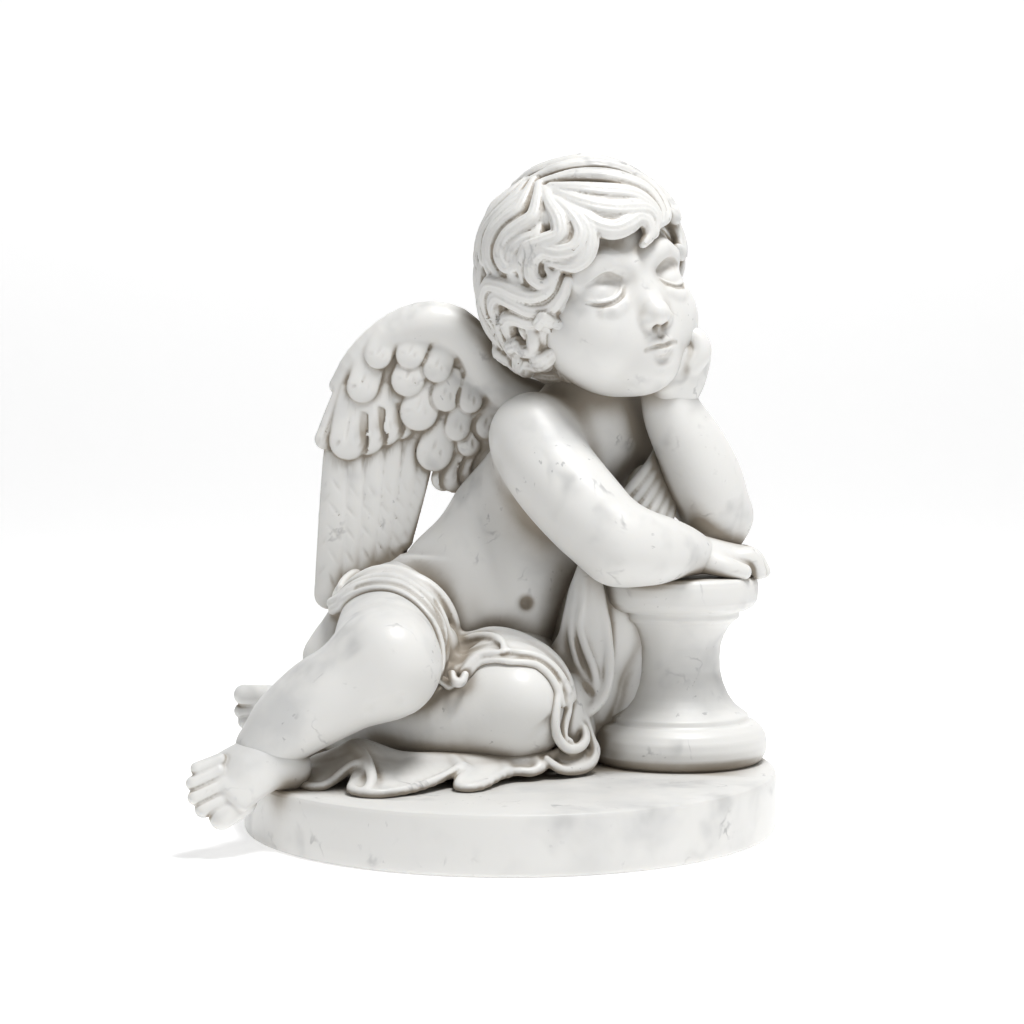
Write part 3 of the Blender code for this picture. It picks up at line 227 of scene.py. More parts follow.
    def skin(self):
        """The surface as points, one for each grid cube that it crosses, and four-sided faces."""
        shape = np.array(self.d.shape)
        rings, crossings = [], []
        for axis in range(3):
            u, v = (axis + 1) % 3, (axis + 2) % 3
            first = self.d[tuple(slice(0, -1) if i == axis else slice(1, -1) for i in range(3))]
            last = self.d[tuple(slice(1, None) if i == axis else slice(1, -1) for i in range(3))]
            crossed = (first < 0) != (last < 0)
            at = np.argwhere(crossed)
            d0, d1 = first[crossed], last[crossed]
            at[:, u] += 1
            at[:, v] += 1
            point = at.astype(float)
            point[:, axis] += d0 / (d0 - d1)
            ring = []
            for du, dv in ((0, 0), (-1, 0), (-1, -1), (0, -1)):
                cube = at.copy()
                cube[:, u] += du
                cube[:, v] += dv
                ring.append(np.ravel_multi_index(cube.T, shape))
            ring = np.stack(ring, 1)
            rings.append(np.where((d0 < 0)[:, None], ring, ring[:, ::-1]))
            crossings.append(np.repeat(point, 4, axis=0))
        rings, crossings = np.vstack(rings), np.vstack(crossings)
        _, index = np.unique(rings.ravel(), return_inverse=True)
        share = np.bincount(index)
        points = np.stack([np.bincount(index, weights=crossings[:, i]) / share for i in range(3)], 1)
        return self.low + self.step * points, index.reshape(rings.shape)


def turned(yaw, pitch, roll):
    """Rows for left, front and up of a form that first faces -Y, in degrees."""
    yaw, pitch, roll = (math.radians(a) for a in (yaw, pitch, roll))
    left = np.array([math.cos(yaw), math.sin(yaw), 0])
    front = np.array([math.sin(yaw), -math.cos(yaw), 0])
    up = np.array([0, 0, 1])
    front, up = math.cos(pitch) * front + math.sin(pitch) * up, math.cos(pitch) * up - math.sin(pitch) * front
    tip = np.array([[math.cos(roll), 0, -math.sin(roll)], [0, 1, 0], [math.sin(roll), 0, math.cos(roll)]])
    return np.array([left, front, up]) @ tip.T

# The forms are in millimetres above the plinth's top. The whole carving is also kept on one coarse grid.
MILLIMETRE = 0.001
PLINTH_HEIGHT = 0.036
whole = Stone((-205, -190, -44), (190, 225, 404), 2.6)
carved_parts = []


def in_metres(points):
    """Points in millimetres above the plinth's top as points in metres above the ground."""
    return points * MILLIMETRE + np.array([0, 0, PLINTH_HEIGHT])


class Wire:
    """An output of a material's nodes. Sums on it, with a number on either side, add Math nodes."""

    def __init__(self, finish, socket):
        self.finish = finish
        self.socket = socket

    def __add__(self, other):
        return self.finish.maths("ADD", self, other)

    def __radd__(self, other):
        return self.finish.maths("ADD", other, self)

    def __sub__(self, other):
        return self.finish.maths("SUBTRACT", self, other)

    def __rsub__(self, other):
        return self.finish.maths("SUBTRACT", other, self)

    def __mul__(self, other):
        return self.finish.maths("MULTIPLY", self, other)

    def __rmul__(self, other):
        return self.finish.maths("MULTIPLY", other, self)

    def __abs__(self):
        return self.finish.maths("ABSOLUTE", self, 0.0)

    def rise(self, low, high):
        """0 below low, 1 above high and a smooth step between."""
        sockets = {"Value": self, "From Min": low, "From Max": high}
        return self.finish.node("MapRange", {"interpolation_type": "SMOOTHSTEP"}, sockets)


class Finish:
    """One material and its nodes."""

    def __init__(self, name):
        self.material = bpy.data.materials.new(name)
        self.material.use_nodes = True
        self.tree = self.material.node_tree
        self.shader = self.tree.nodes["Principled BSDF"]

    def node(self, kind, settings, sockets, output=0):
        """Adds a node with its settings and a value or a link for each input, and gives an output."""
        made = self.tree.nodes.new("ShaderNode" + kind)
        for key, value in settings.items():
            setattr(made, key, value)
        for key, value in sockets.items():
            self.join(made.inputs[key], value)
        return Wire(self, made.outputs[output])

    def join(self, socket, value):
        """Links a wire to an input, or sets the input's own value."""
        if isinstance(value, Wire):
            self.tree.links.new(value.socket, socket)
        else:
            socket.default_value = value

    def maths(self, operation, first, second):
        """A Math node on one or two numbers."""
        return self.node("Math", {"operation": operation}, {0: first, 1: second})

    def blend(self, share, first, second, way="MIX"):
        """The first colour with a share of the second mixed in."""
        settings = {"data_type": "RGBA", "blend_type": way}
        return self.node("Mix", settings, {0: share, 6: first, 7: second}, 2)

    def mottle(self, place, scale, detail, seed=0.0, output=0):
        """Cloudy noise round one half, with scale lumps to the metre; another seed shifts it elsewhere."""
        shifted = self.node("VectorMath", {"operation": "ADD"}, {0: place, 1: (seed, 2 * seed, -seed)})
        return self.node("TexNoise", {}, {"Vector": shifted, "Scale": scale, "Detail": detail}, output)


def marble_finish(name, dust_and_shade_share, polish):
    """White marble: pale grey clouds, thin broken veins where a warped noise passes one half, small dark
    flecks, and warm dust with painted shade that darkens and dulls the hollows by the given share. The dust
    and the painted shade follow the skin's hollow value."""
    finish = Finish(name)
    place = finish.node("TexCoord", {}, {}, 3)
    drift = finish.mottle(place, 14, 3, output=1)
    drift = finish.node("VectorMath", {"operation": "SUBTRACT"}, {0: drift, 1: (0.5, 0.5, 0.5)})
    drift = finish.node("VectorMath", {"operation": "SCALE"}, {0: drift, "Scale": 0.05})
    bent = finish.node("VectorMath", {"operation": "ADD"}, {0: place, 1: drift})
    cloud = finish.mottle(bent, 13, 4, 3.0).rise(0.5, 0.75)
    vein = abs(finish.mottle(bent, 16, 3, 7.0) - 0.5)
    vein = (1 - vein.rise(0.0, 0.07)) * finish.mottle(place, 24, 3, 1.0).rise(0.5, 0.75)
    crack = abs(finish.mottle(bent, 34, 4, 4.0) - 0.5)
    crack = (1 - crack.rise(0.0, 0.03)) * finish.mottle(place, 40, 3, 9.0).rise(0.55, 0.75)
    fleck = finish.mottle(bent, 210, 2, 2.0).rise(0.66, 0.74)
    fleck = fleck * finish.mottle(place, 28, 2, 5.0).rise(0.5, 0.7)
    hollow = finish.node("Attribute", {"attribute_name": "hollow"}, {}, 2)
    # The hollows' warm darkening is dust and painted shade together: it grows where the stone closes round.
    dust_and_shade = (hollow + (finish.mottle(place, 90, 3, 6.0) - 0.5) * 0.35 * hollow).rise(0.06, 0.7)
    colour = finish.blend(cloud * 0.65, (0.74, 0.735, 0.715, 1), (0.5, 0.505, 0.505, 1))
    colour = finish.blend(vein * 0.45, colour, (0.30, 0.305, 0.31, 1))
    colour = finish.blend(crack * 0.55, colour, (0.2, 0.2, 0.21, 1))
    colour = finish.blend(fleck * 0.5, colour, (0.22, 0.22, 0.23, 1))
    # Warm brown of the dust and of the painted shade in the hollows.
    colour = finish.blend(dust_and_shade * dust_and_shade_share, colour, (0.25, 0.205, 0.15, 1))
    finish.join(finish.shader.inputs["Base Color"], colour)
    finish.join(finish.shader.inputs["Roughness"], polish + 0.12 * cloud + 0.35 * dust_and_shade)
    grain = finish.mottle(place, 500, 3, 0.5)
    bump = finish.node("Bump", {}, {"Strength": 0.1, "Distance": 0.0004, "Height": grain})
    finish.join(finish.shader.inputs["Normal"], bump)
    finish.shader.inputs["Subsurface Weight"].default_value = 0.15
    finish.shader.inputs["Subsurface Radius"].default_value = (1.0, 0.85, 0.65)
    finish.shader.inputs["Subsurface Scale"].default_value = 0.004
    finish.shader.inputs["Specular IOR Level"].default_value = 0.45
    return finish.material


marble = marble_finish("marble", 0.85, 0.38)


def finished(name, mesh, stone=None, keep=1.0):
    """Makes a mesh one part of the carving, in marble, thinned to a share of its faces."""
    piece = bpy.data.objects.new(name, mesh)
    bpy.context.scene.collection.objects.link(piece)
    if keep < 1:
        thin = piece.modifiers.new("thin", "DECIMATE")
        thin.ratio = keep
        shape = piece.evaluated_get(bpy.context.evaluated_depsgraph_get())
        piece.data = bpy.data.meshes.new_from_object(shape)
        piece.modifiers.clear()
        bpy.data.meshes.remove(mesh)
        piece.data.name = name
    piece.data.shade_smooth()
    piece.data.materials.append(marble)
    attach(piece, "root")
    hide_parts("putto_statue")
    carved_parts.append((piece, stone))
    return piece


def carved(name, low, high, step, keep, *forms):
    """One part of the carving: its forms are cut from a block of its own between two corners, and the
    block's skin becomes a closed mesh, thinned to a share of its faces. The same forms are cut, coarsely,
    in the whole."""
    stone = Stone(low, high, step)
    for form in forms:
        form(stone)
        form(whole)
    points, faces = stone.skin()
    points = stone.settle(points)
    mesh = bpy.data.meshes.new(name)
    mesh.from_pydata(in_metres(points), [], faces)
    return finished(name, mesh, stone, keep)


CHEST_WAYS = turned(45, -5, 0)


def torso(stone):
    """Hips, belly, waist and chest as eggs blended into one trunk, with the shoulders, neck and navel."""
    stone.limb([(-70, 32, 88), (-38, 42, 78), (-6, 42, 62)], [36, 42, 40])
    stone.egg((-60, 58, 70), (42, 36, 40), k=20)
    stone.egg((-14, 68, 44), (48, 40, 44), k=20)
    stone.egg((-8, 26, 106), (43, 37, 42), k=22)
    stone.egg((8, 37, 146), (50, 37, 46), k=24)
    stone.egg((-30, 42, 122), (38, 32, 26), k=20)
    stone.egg((34, 38, 186), (51, 37, 42), CHEST_WAYS, k=24)
    stone.limb([(20, 4, 206), (50, 34, 212), (88, 62, 204)], [20, 22, 20], k=22)
    stone.limb([(50, 36, 212), (52, 30, 245), (50, 24, 275)], [28, 25, 26], k=20)
    stone.limb([(20, 66, 200), (10, 62, 170)], [14, 10], k=22)
    stone.limb([(62, 40, 222), (84, 56, 220), (98, 62, 208)], [18, 17, 18], k=16)
    stone.limb([(9, -12.5, 103), (9.5, -4, 102)], [1.6, 2.0], k=7, cut=True)


def arms(stone):
    """The right forearm lies along the column's cap and the left one stands on it."""
    stone.limb([(14, -8, 206), (26, -20, 184), (48, -33, 158), (66, -40, 141)], [27, 28, 27, 24.5], k=14)
    stone.limb([(66, -40, 141), (84, -36, 138), (103, -20, 136), (118, -3, 132)], [23.5, 22.5, 17, 12], k=8)
    stone.limb([(90, 62, 204), (112, 46, 180), (134, 28, 155)], [24, 23, 21], k=14)
    stone.limb([(131, 24, 143), (129, 20, 160), (123, 16, 178), (113, 12, 200), (103, 9, 218),
                (98, 8, 233)], [16, 22, 24, 22, 19, 16.5], k=6)


carved("trunk_and_arms", (-125, -80, 15), (170, 125, 290), 1.3, 0.5, torso, arms)

# The hands: the right one lies flat on the column's cap and the left one is curled under the cheek.
# Cut with the arms from the same stone, on a finer grid, so that the fingers stay apart.


def hands(stone):
    """The right palm lies on the column's cap and the left hand is curled under the cheek."""
    stone.ribbon([(112, -6, 133), (127, 2, 131), (142, 9, 129)], (0, -0.15, 1), [13, 16, 16], [13, 11, 9],
                 k=8)
    for y, reach in ((-2, 0.8), (8, 1.0), (17.5, 1.05), (26, 0.9)):
        finger = [(140, y, 129), (141 + 11 * reach, y + 1, 129.5), (141 + 18.5 * reach, y + 1.5, 121)]
        stone.limb(finger, [7, 6.4, 4.6], k=2.5)
    stone.limb([(122, -11, 129), (134, -13, 125), (145, -10, 122)], [8, 6.4, 5], k=3)
    stone.limb([(100, 8, 232), (106, 6, 243), (112, 5, 254)], [16.8, 16.5, 13.5], k=5)
    stone.egg((105, 2, 254), (13, 13, 15), k=6)
    for y in (-6, 3, 12, 20):
        finger = [(112, y, 250), (118, y, 258), (116, y + 1, 266), (108, y + 2, 271)]
        stone.limb(finger, [6.8, 6.8, 6.2, 5], k=1.5)
    stone.limb([(97, -5, 240), (98, -9, 249), (103, -9, 258)], [10, 8.5, 6.5], k=4)
    crease = [(117, -15.5, 141), (120, -16, 134), (121, -14.5, 126)]
    stone.limb(crease, [0.8, 1.2, 0.8], k=3, cut=True)


carved("hands", (76, -30, 108), (178, 40, 285), 0.8, 0.5, hands)

# The legs: the right knee is raised and crosses over the left leg, which lies folded on the plinth.
# Bare stone like the trunk, which they leave under the cloth.


def legs(stone):
    """The right knee is raised and crosses over the left leg, which lies folded on the plinth."""
    stone.limb([(-70, 28, 90), (-74, -12, 84), (-75, -50, 77), (-74, -76, 74)], [36, 33.5, 32.5, 32], k=14)
    stone.limb([(-74, -80, 72), (-93, -84, 61), (-111, -86, 51), (-130, -88, 38), (-144, -90, 25)],
               [31, 26.5, 25, 21.5, 17], k=10)
    stone.limb([(-92, -66, 64), (-112, -72, 54), (-130, -82, 40)], [22, 22, 18], k=10)
    stone.egg((-68, -95, 81), (16, 14, 15), k=12)
    stone.limb([(-78, -108, 50), (-70, -110, 52), (-62, -107, 56)], [1, 1.8, 1], k=5, cut=True)
    stone.limb([(-4, 42, 58), (-2, 10, 50), (-1, -30, 43)], [40, 38, 37], k=14)
    stone.limb([(-1, -32, 38), (-40, -24, 33), (-80, -8, 28), (-116, 12, 24)], [34, 31, 26, 16], k=7)
    stone.egg((6, -56, 50), (15, 12, 14), k=12)
    stone.limb([(8, -70, 26), (16, -66, 29), (24, -60, 36)], [1, 1.8, 1], k=5, cut=True)


carved("legs", (-165, -135, -5), (60, 100, 130), 1.3, 0.5, legs)

# The feet: the right one hangs over the plinth's edge and the left one lies on its outer side.
# Bare stone cut finer than the legs, with a flat instep and each toe a short limb of its own.


def toes(stone, roots, tips, radii):
    """A row of toes, each a short limb."""
    for root, tip, radius in zip(roots, tips, radii):
        stone.limb([root, tip], [radius, 0.95 * radius], k=1.5)


def feet(stone):
    """The right foot hangs over the plinth's edge and the left one lies on its outer side."""
    stone.limb([(-131, -84, 12), (-142, -92, 19), (-152, -100, 14)], [14, 15, 12], k=6)
    instep = [(-138, -90, 18), (-152, -101, 13), (-164, -108, 6)]
    stone.ribbon(instep, (-0.2, -1, 0.5), [16, 19, 20], [13, 10, 7], k=6)
    roots = [(-168, -106, 20), (-168, -109, 14), (-165, -110, 7), (-161, -110, 0), (-154, -108, -4)]
    tips = [(-180.4, -111, 16), (-182.5, -114, 8), (-181, -116, 0), (-176.5, -116, -7), (-166, -114, -12)]
    toes(stone, roots, tips, (4.2, 4.4, 4.7, 5.0, 7.6))
    stone.limb([(-114, 12, 24), (-130, 16, 32), (-150, 18, 33)], [15, 14, 10], k=6)
    instep = [(-134, 15, 32), (-148, 17, 32), (-158, 18, 31)]
    stone.ribbon(instep, (0, -1, 0.1), [13, 15, 16], [10, 8, 7], k=5)
    roots = [(-154, 16, 41), (-156, 18, 33), (-155, 18, 26), (-152, 18, 20), (-149, 18, 17)]
    tips = [(-169, 17, 41.5), (-171, 19, 31), (-169, 19, 24), (-166, 19, 19), (-161, 19, 15)]
    toes(stone, roots, tips, (7.0, 5.0, 4.6, 4.3, 4.2))


carved("feet", (-200, -135, -25), (-98, 45, 62), 0.8, 0.5, feet)

# The head: a dozing child with plain, even features, its left cheek on its hand.
# The bare skin is rubbed smooth, and the lids, the nostrils and the lips are cut with a fine point.
HEAD = np.array([47, 16, 307])
HEAD_WAYS = turned(33, 3, 15)


def head(*places):
    """Points given as left, front and up from the middle of the head."""
    return [HEAD + np.asarray(place, float) @ HEAD_WAYS for place in places]


def face(stone):
    """A dozing child's head with plain features: round skull, full cheeks, closed lids, short nose."""
    def egg(place, radii, k=0.0, cut=False):
        stone.egg(head(place)[0], radii, HEAD_WAYS, k=k, cut=cut)

    def limb(places, radii, k=0.0, cut=False):
        stone.limb(head(*places), radii, k=k, cut=cut)

    def line(places, radii, gap, k, cut=False):
        count = 8 * len(places)
        path, _ = stone.lay(head(*places), gap, count)
        stone.limb(path, eased(radii, count), k=k, count=count, cut=cut)

    egg((0, -4, 6), (56, 62, 57))
    egg((0, 15, -26), (48, 41, 42), k=16)
    egg((0, 18, -47), (38, 34, 34), k=20)
    for side in (-1, 1):
        egg((side * 25, 25, -41), (22, 23, 21), k=20)
    egg((0, 37, -54), (20, 17, 14), k=12)
    egg((0, 36, -70), (16, 15.5, 12.5), k=14)
    for side in (-1, 1):
        egg((side * 23, 63, -14), (14, 12, 8), k=8, cut=True)
        limb(((side * 8, 54, -5), (side * 22, 53, -1), (side * 38, 43, -6)), (4, 5, 4), k=10)
    limb(((0, 49, -8), (0, 53, -24), (0, 59, -36)), (7, 5.8, 6), k=9)
    egg((0, 61.5, -40), (7, 6.6, 6), k=5)
    for side in (-1, 1):
        egg((side * 7, 56.5, -42.5), (4.8, 6, 4.6), k=3)
        egg((side * 24, 40.5, -19.5), (14, 12.4, 10), k=2.5)
        lashes = [(side * 11.5, 48.5, -21), (side * 17, 51.2, -25), (side * 24, 52.4, -27),
                  (side * 31, 50.4, -26), (side * 37.5, 45.4, -22.5)]
        line([(x, y, z + 1.8) for x, y, z in lashes], (0.8, 1.6, 1.8, 1.7, 1.0), -0.5, 1.5)
        line([(x, y, z - 4.2) for x, y, z in lashes[1:4]], (2.0, 2.8, 2.0), -1.4, 4)
        line(lashes, (0.6, 1.0, 1.1, 1.1, 0.7), 0.1, 0.8, cut=True)
        line(((side * 13, 51, -12), (side * 24, 53.5, -8.5), (side * 35, 48.5, -12)), (0.5, 1.1, 0.6), 0.3,
             2.5, cut=True)
        limb(((side * 3.3, 58, -43), (side * 3.6, 60, -49)), (1.6, 2.0), k=1.2, cut=True)
    line(((0, 58, -49), (0, 57.4, -54)), (1.3, 1.9), 0.6, 2.5, cut=True)
    limb(((-12, 49.5, -58), (-5, 55.2, -55.8), (0, 55.6, -56.8), (5, 55.2, -55.8), (12, 49.5, -58)),
         (0.8, 2.9, 2.6, 2.9, 0.8), k=1.5)
    limb(((-10, 50.3, -60), (0, 55, -62), (10, 50.3, -60)), (1.2, 3.8, 1.2), k=1.5)
    line(((-11.5, 52, -58.2), (-6, 57, -58.6), (0, 58.6, -59.2), (6, 57, -58.6), (11.5, 52, -58.2)),
         (0.7, 0.9, 0.9, 0.9, 0.7), 0.1, 1.5, cut=True)
    egg((0, 58, -67), (8, 4, 2.6), k=4, cut=True)
    for side in (-1, 1):
        rim = head((side * 47, 9, -27), (side * 47.5, 8, -35), (side * 45, 11, -43), (side * 39, 18, -50),
                   (side * 35, 25, -52), (side * 34, 28, -49))
        stone.limb(rim, [3, 4, 4.5, 4.8, 4.4, 3], k=1.5)
        egg((side * 40, 18, -42), (4, 5, 4), k=2, cut=True)


carved("head", (-30, -70, 215), (125, 100, 380), 0.9, 0.6, face)

# The hair: a fringe swept to the left, waves and hooked curls over the right ear, and rows of locks behind.
# Each lock is a grooved band laid on the scalp, the way a carver draws strands with a fine chisel.


def scalp(azimuth, rise, lift):
    """A point lift above the scalp, azimuth degrees left of the front, rise degrees up, and its way out."""
    azimuth, rise = math.radians(azimuth), math.radians(rise)
    way = (math.sin(azimuth) * math.cos(rise), math.cos(azimuth) * math.cos(rise), math.sin(rise))
    radii = np.array([57, 63, 59]) + lift
    return head(np.array([0, -4, 7]) + way * radii)[0], unit(way / radii) @ HEAD_WAYS


def lock(stone, path, half, deep, lift):
    """One lock of hair: a grooved band through azimuth and rise pairs, narrow at both ends."""
    points, outward, wide = [], [], []
    for i, (azimuth, rise) in enumerate(path):
        t = i / (len(path) - 1)
        point, way = scalp(azimuth, rise, lift * (0.45 + 0.55 * math.sin(math.pi * min(0.75 * t + 0.1, 1))))
        points.append(point)
        outward.append(way)
        wide.append(min(1.0, 0.55 + 1.6 * t) * (1 - 0.6 * max(0, (t - 0.55) / 0.45) ** 1.5))
    wide = np.array(wide)
    stone.ribbon(points, outward, half * wide, deep * (0.6 + 0.4 * wide), k=0.7, count=6 * len(path),
                 grooves=4, groove_depth=0.75)


def hair_cap(stone):
    """The mass of the hair, open over the face."""
    stone.egg(head((0, -3, 7))[0], (59.5, 61.5, 61), HEAD_WAYS)
    stone.egg(scalp(-45, 26, 0)[0], (10, 10, 10), k=4)
    stone.egg(scalp(-44, 42, 0)[0], (10, 10, 8.5), k=5)
    stone.egg(scalp(-62, -2, 0)[0], (9, 9, 9), k=4)
    stone.egg((20, 34, 269), (26, 29, 23), k=8)
    stone.egg((26, 32, 254), (18, 23, 10), k=6)
    stone.egg(scalp(-170, -44, -4)[0], (19, 17, 15), k=8)
    stone.egg(scalp(150, -40, -6)[0], (19, 17, 15), k=8)
    stone.egg(head((0, 46, -34))[0], (64, 50, 50), HEAD_WAYS, k=3, cut=True)

# Locks as azimuth and rise pairs from root to tip, and how far each stands off the scalp.
FRINGE = (
    ([(-39, 37), (-34, 29), (-28, 20), (-22, 12), (-14, 8),
      (-5, 9), (2, 11), (8, 8), (8, 1), (3, -3)], 7),
    ([(-39, 41), (-30, 31), (-20, 23), (-9, 18), (2, 16), (11, 14), (15, 8), (12, 1)], 8),
    ([(-41, 45), (-26, 37), (-12, 30), (2, 25), (11, 20), (17, 13), (17, 6)], 8.5),
    ([(-46, 52), (-20, 48), (0, 40), (13, 32), (22, 24), (24, 13), (20, 6)], 8),
    ([(-62, 60), (-28, 62), (6, 56), (23, 46), (32, 34), (34, 21), (30, 10), (22, 6)], 7.5),
    ([(-110, 68), (-60, 76), (20, 68), (36, 52), (42, 38), (42, 26), (36, 16)], 6.5),
    ([(-160, 70), (160, 82), (56, 68), (56, 52), (55, 36), (55, 22), (48, 12)], 5.5),
    ([(38, 40), (45, 32), (51, 23), (51, 13), (44, 9), (38, 13)], 8.5),
    ([(46, 16), (53, 8), (55, -2), (50, -10), (44, -8)], 6),
    ([(57, 16), (61, 2), (60, -14), (54, -24)], 4.5),
    ([(59, -4), (62, -20), (60, -34), (54, -40)], 3),
)

TEMPLE_WAVES = (
    ([(-43, 36), (-38, 30), (-33, 19), (-32, 10), (-37, 4), (-45, 4),
      (-53, 8), (-60, 5), (-63, -3), (-59, -9), (-53, -7), (-54, -2)], 8.5),
    ([(-41, 33), (-35, 27), (-29, 18), (-28, 8), (-33, -1), (-41, -4), (-49, -1), (-56, 3)], 7),
    ([(-46, 44), (-44, 32), (-41, 20), (-43, 12), (-52, 11), (-61, 11), (-67, 5), (-69, -3)], 9),
    ([(-50, 50), (-51, 38), (-55, 27), (-63, 24), (-72, 21),
      (-78, 14), (-76, 6), (-70, 5), (-68, 12)], 9.5),
    ([(-56, 56), (-60, 43), (-65, 34), (-73, 31), (-82, 26), (-87, 16), (-84, 6), (-79, 1)], 9),
    ([(-66, 62), (-70, 50), (-78, 42), (-88, 37), (-98, 30), (-99, 18), (-93, 10)], 6.5),
    ([(-84, 68), (-90, 56), (-98, 47), (-108, 38), (-112, 26), (-107, 14), (-100, 8)], 4.5),
    ([(-116, 70), (-112, 60), (-116, 49), (-122, 38), (-126, 24), (-120, 12)], 3.5),
    ([(-60, 50), (-70, 40), (-82, 33), (-90, 22), (-90, 8), (-84, -2)], 7.5),
    ([(-52, 24), (-56, 17), (-64, 16), (-72, 12), (-74, 0), (-68, -6)], 7.5),
    ([(-98, 22), (-103, 10), (-108, -2), (-104, -12), (-96, -14)], 5.5),
    ([(-116, 26), (-118, 12), (-124, 0), (-122, -12), (-114, -16)], 4),
)

EAR_CURLS = (
    ([(-46, -11), (-52, -18), (-61, -22), (-71, -19), (-79, -12),
      (-88, -6), (-97, -10), (-102, -20), (-100, -30)], 9),
    ([(-50, -6), (-57, -13), (-66, -13), (-74, -8), (-82, -2),
      (-92, 1), (-101, -4), (-108, -14), (-110, -26)], 9.5),
    ([(-55, -19), (-64, -26), (-75, -26), (-84, -20), (-91, -20),
      (-96, -28), (-95, -38), (-88, -42), (-83, -38)], 9),
    ([(-54, -24), (-58, -32), (-64, -36), (-64, -43), (-57, -47), (-51, -46)], 6.5),
    ([(-68, -28), (-74, -36), (-80, -44), (-88, -50),
      (-98, -50), (-106, -43), (-107, -35), (-102, -33)], 11),
    ([(-62, -33), (-69, -41), (-74, -50), (-82, -57), (-94, -60), (-104, -56)], 10),
    ([(-92, -10), (-102, -22), (-110, -34), (-118, -42), (-126, -40), (-128, -32)], 10),
    ([(-104, -28), (-113, -42), (-116, -54), (-108, -62), (-98, -64)], 13),
    ([(-104, 4), (-114, -6), (-121, -18), (-119, -30), (-124, -44), (-134, -52), (-142, -48)], 9),
    ([(-118, -40), (-126, -54), (-122, -66), (-108, -70)], 13),
    ([(-80, -52), (-90, -62), (-104, -68), (-120, -66)], 12),
)

# Curls at the nape as points near the hair's mass, on which they are laid, and half widths.
NAPE_CURLS = (
    ([(4, -10, 288), (-1, -2, 282), (-5, 8, 276), (-5, 18, 269),
      (-2, 18, 261), (4, 16, 254), (11, 14, 250)], 7),
    ([(7, -8, 262), (8, 2, 257), (12, 4, 253), (19, -18, 252), (25, -24, 255), (28, -28, 258)], 7),
    ([(24, -34, 287), (18, -30, 281), (15, -25, 276), (17, -23, 270), (18, -22, 266),
      (15, -19, 262), (9, -17, 261), (5, -4, 264), (5, -6, 268)], 7),
    ([(8, -18, 283), (9, -18, 277), (10, -20, 271), (10, -18, 266)], 4),
    ([(21, -32, 288), (23, -34, 283), (24, -35, 278), (28, -38, 274), (32, -41, 271)], 4.5),
)


def hair(stone):
    """A fringe swept to the left, waves and curls over the right ear, and rows of waved locks behind."""
    for locks in (FRINGE, TEMPLE_WAVES, EAR_CURLS):
        for path, lift in locks:
            lock(stone, path, 7.0 if locks is FRINGE else 6.2, 5.0, lift)
    for row, (rise, gap) in enumerate(((62, 26), (34, 15), (8, 14), (-18, 14.5), (-40, 17))):
        around = np.arange(-134 - 0.5 * gap * (row % 2), -300, -gap)
        for j, azimuth in enumerate(around):
            sway = (9 + 3 * ((7 * j + 3 * row) % 3)) / math.cos(math.radians(rise))
            path = []
            for t in range(6):
                turn = math.sin(4.2 * t) * (t / 5 + 0.3) + 1.2 * max(0, t - 3.6)
                path.append((azimuth + sway * turn, rise + 8 - 8.2 * t + 7 * max(0, t - 3.4)))
            lock(stone, path, 6.5, 5.0, 4.5)
    for path, half in NAPE_CURLS:
        points, outward = stone.lay(path, 1.5, 7 * len(path))
        t = np.linspace(0, 1, len(points))
        wide = half * np.minimum(1, 0.55 + 2 * t) * (1 - 0.55 * np.maximum(0, (t - 0.6) / 0.4) ** 1.5)
        stone.ribbon(points, outward, wide, 0.75 * wide, k=1, count=len(points), grooves=3,
                     groove_depth=1.0)


carved("hair", (-35, -75, 220), (130, 110, 395), 0.9, 0.5, hair_cap, hair)

# The wings: a round leading edge, three rows of short covering feathers and a row of long flight feathers,
# carved on both faces. The left wing mirrors the right one behind the shoulders.


def feather(stone, place, root, tip, half, stand, deep, side, scores):
    """One feather on one face of the wing: a domed strip with a round end that stands prouder than its
    root. A short feather gets a trench cut round its end, and a long one tilts to lap over the next. Each
    score is a line cut from one share of the length and of the half width to another."""
    root, tip = np.array(root, float), np.array(tip, float)
    length = np.linalg.norm(tip - root)
    along = (tip - root) / length
    across = np.array([-along[1], along[0]])
    outward = (place(0, 0, 1) - place(0, 0, 0)) * side

    def at(t, aside, out):
        x, z = root + along * t * (length - half) + across * aside
        return place(x, z, side * (0.7 * stand + 1.2 + 2.0 * t + out))

    ways = np.array([at(1, 1, 0) - at(1, 0, 0), outward, at(1, 0, 0) - at(0.9, 0, 0)])
    ways = ways / np.linalg.norm(ways, axis=1, keepdims=True)
    steps = np.linspace(0, 1, 5)
    wide = half * np.array([0.8, 0.92, 0.98, 1, 1])
    if length > 60:
        ways[1] = unit(ways[1] - 0.2 * ways[0])
        ways[0] = np.cross(ways[1], ways[2])
    else:
        trench = [at(t, 0, 1.2) for t in (0.45, 0.75, 1)]
        stone.ribbon(trench, outward, [half - 1, half + 1, half + 1.2], 2.1, k=1, count=10, cut=True)
        stone.egg(at(1, 0, 1.2), (half + 1.2, 2.1, half + 1.2), ways, k=1, cut=True)
    stone.ribbon([at(t, 0, 0) for t in steps], ways[1], wide, deep, count=12)
    stone.egg(at(1, 0, 0), (half, deep, half), ways, k=0.6)
    for first, last in scores:
        line = []
        for share in (0, 0.33, 0.67, 1):
            t, aside = np.array(first) + share * (np.array(last) - first)
            up = deep * math.sqrt(1 - aside**2) + 0.5
            line.append(at(t, 0, 0) + aside * half * ways[0] + up * ways[1])
        stone.limb(line, [0.5, 0.9, 0.9, 0.5], k=0.9, count=8, cut=True)


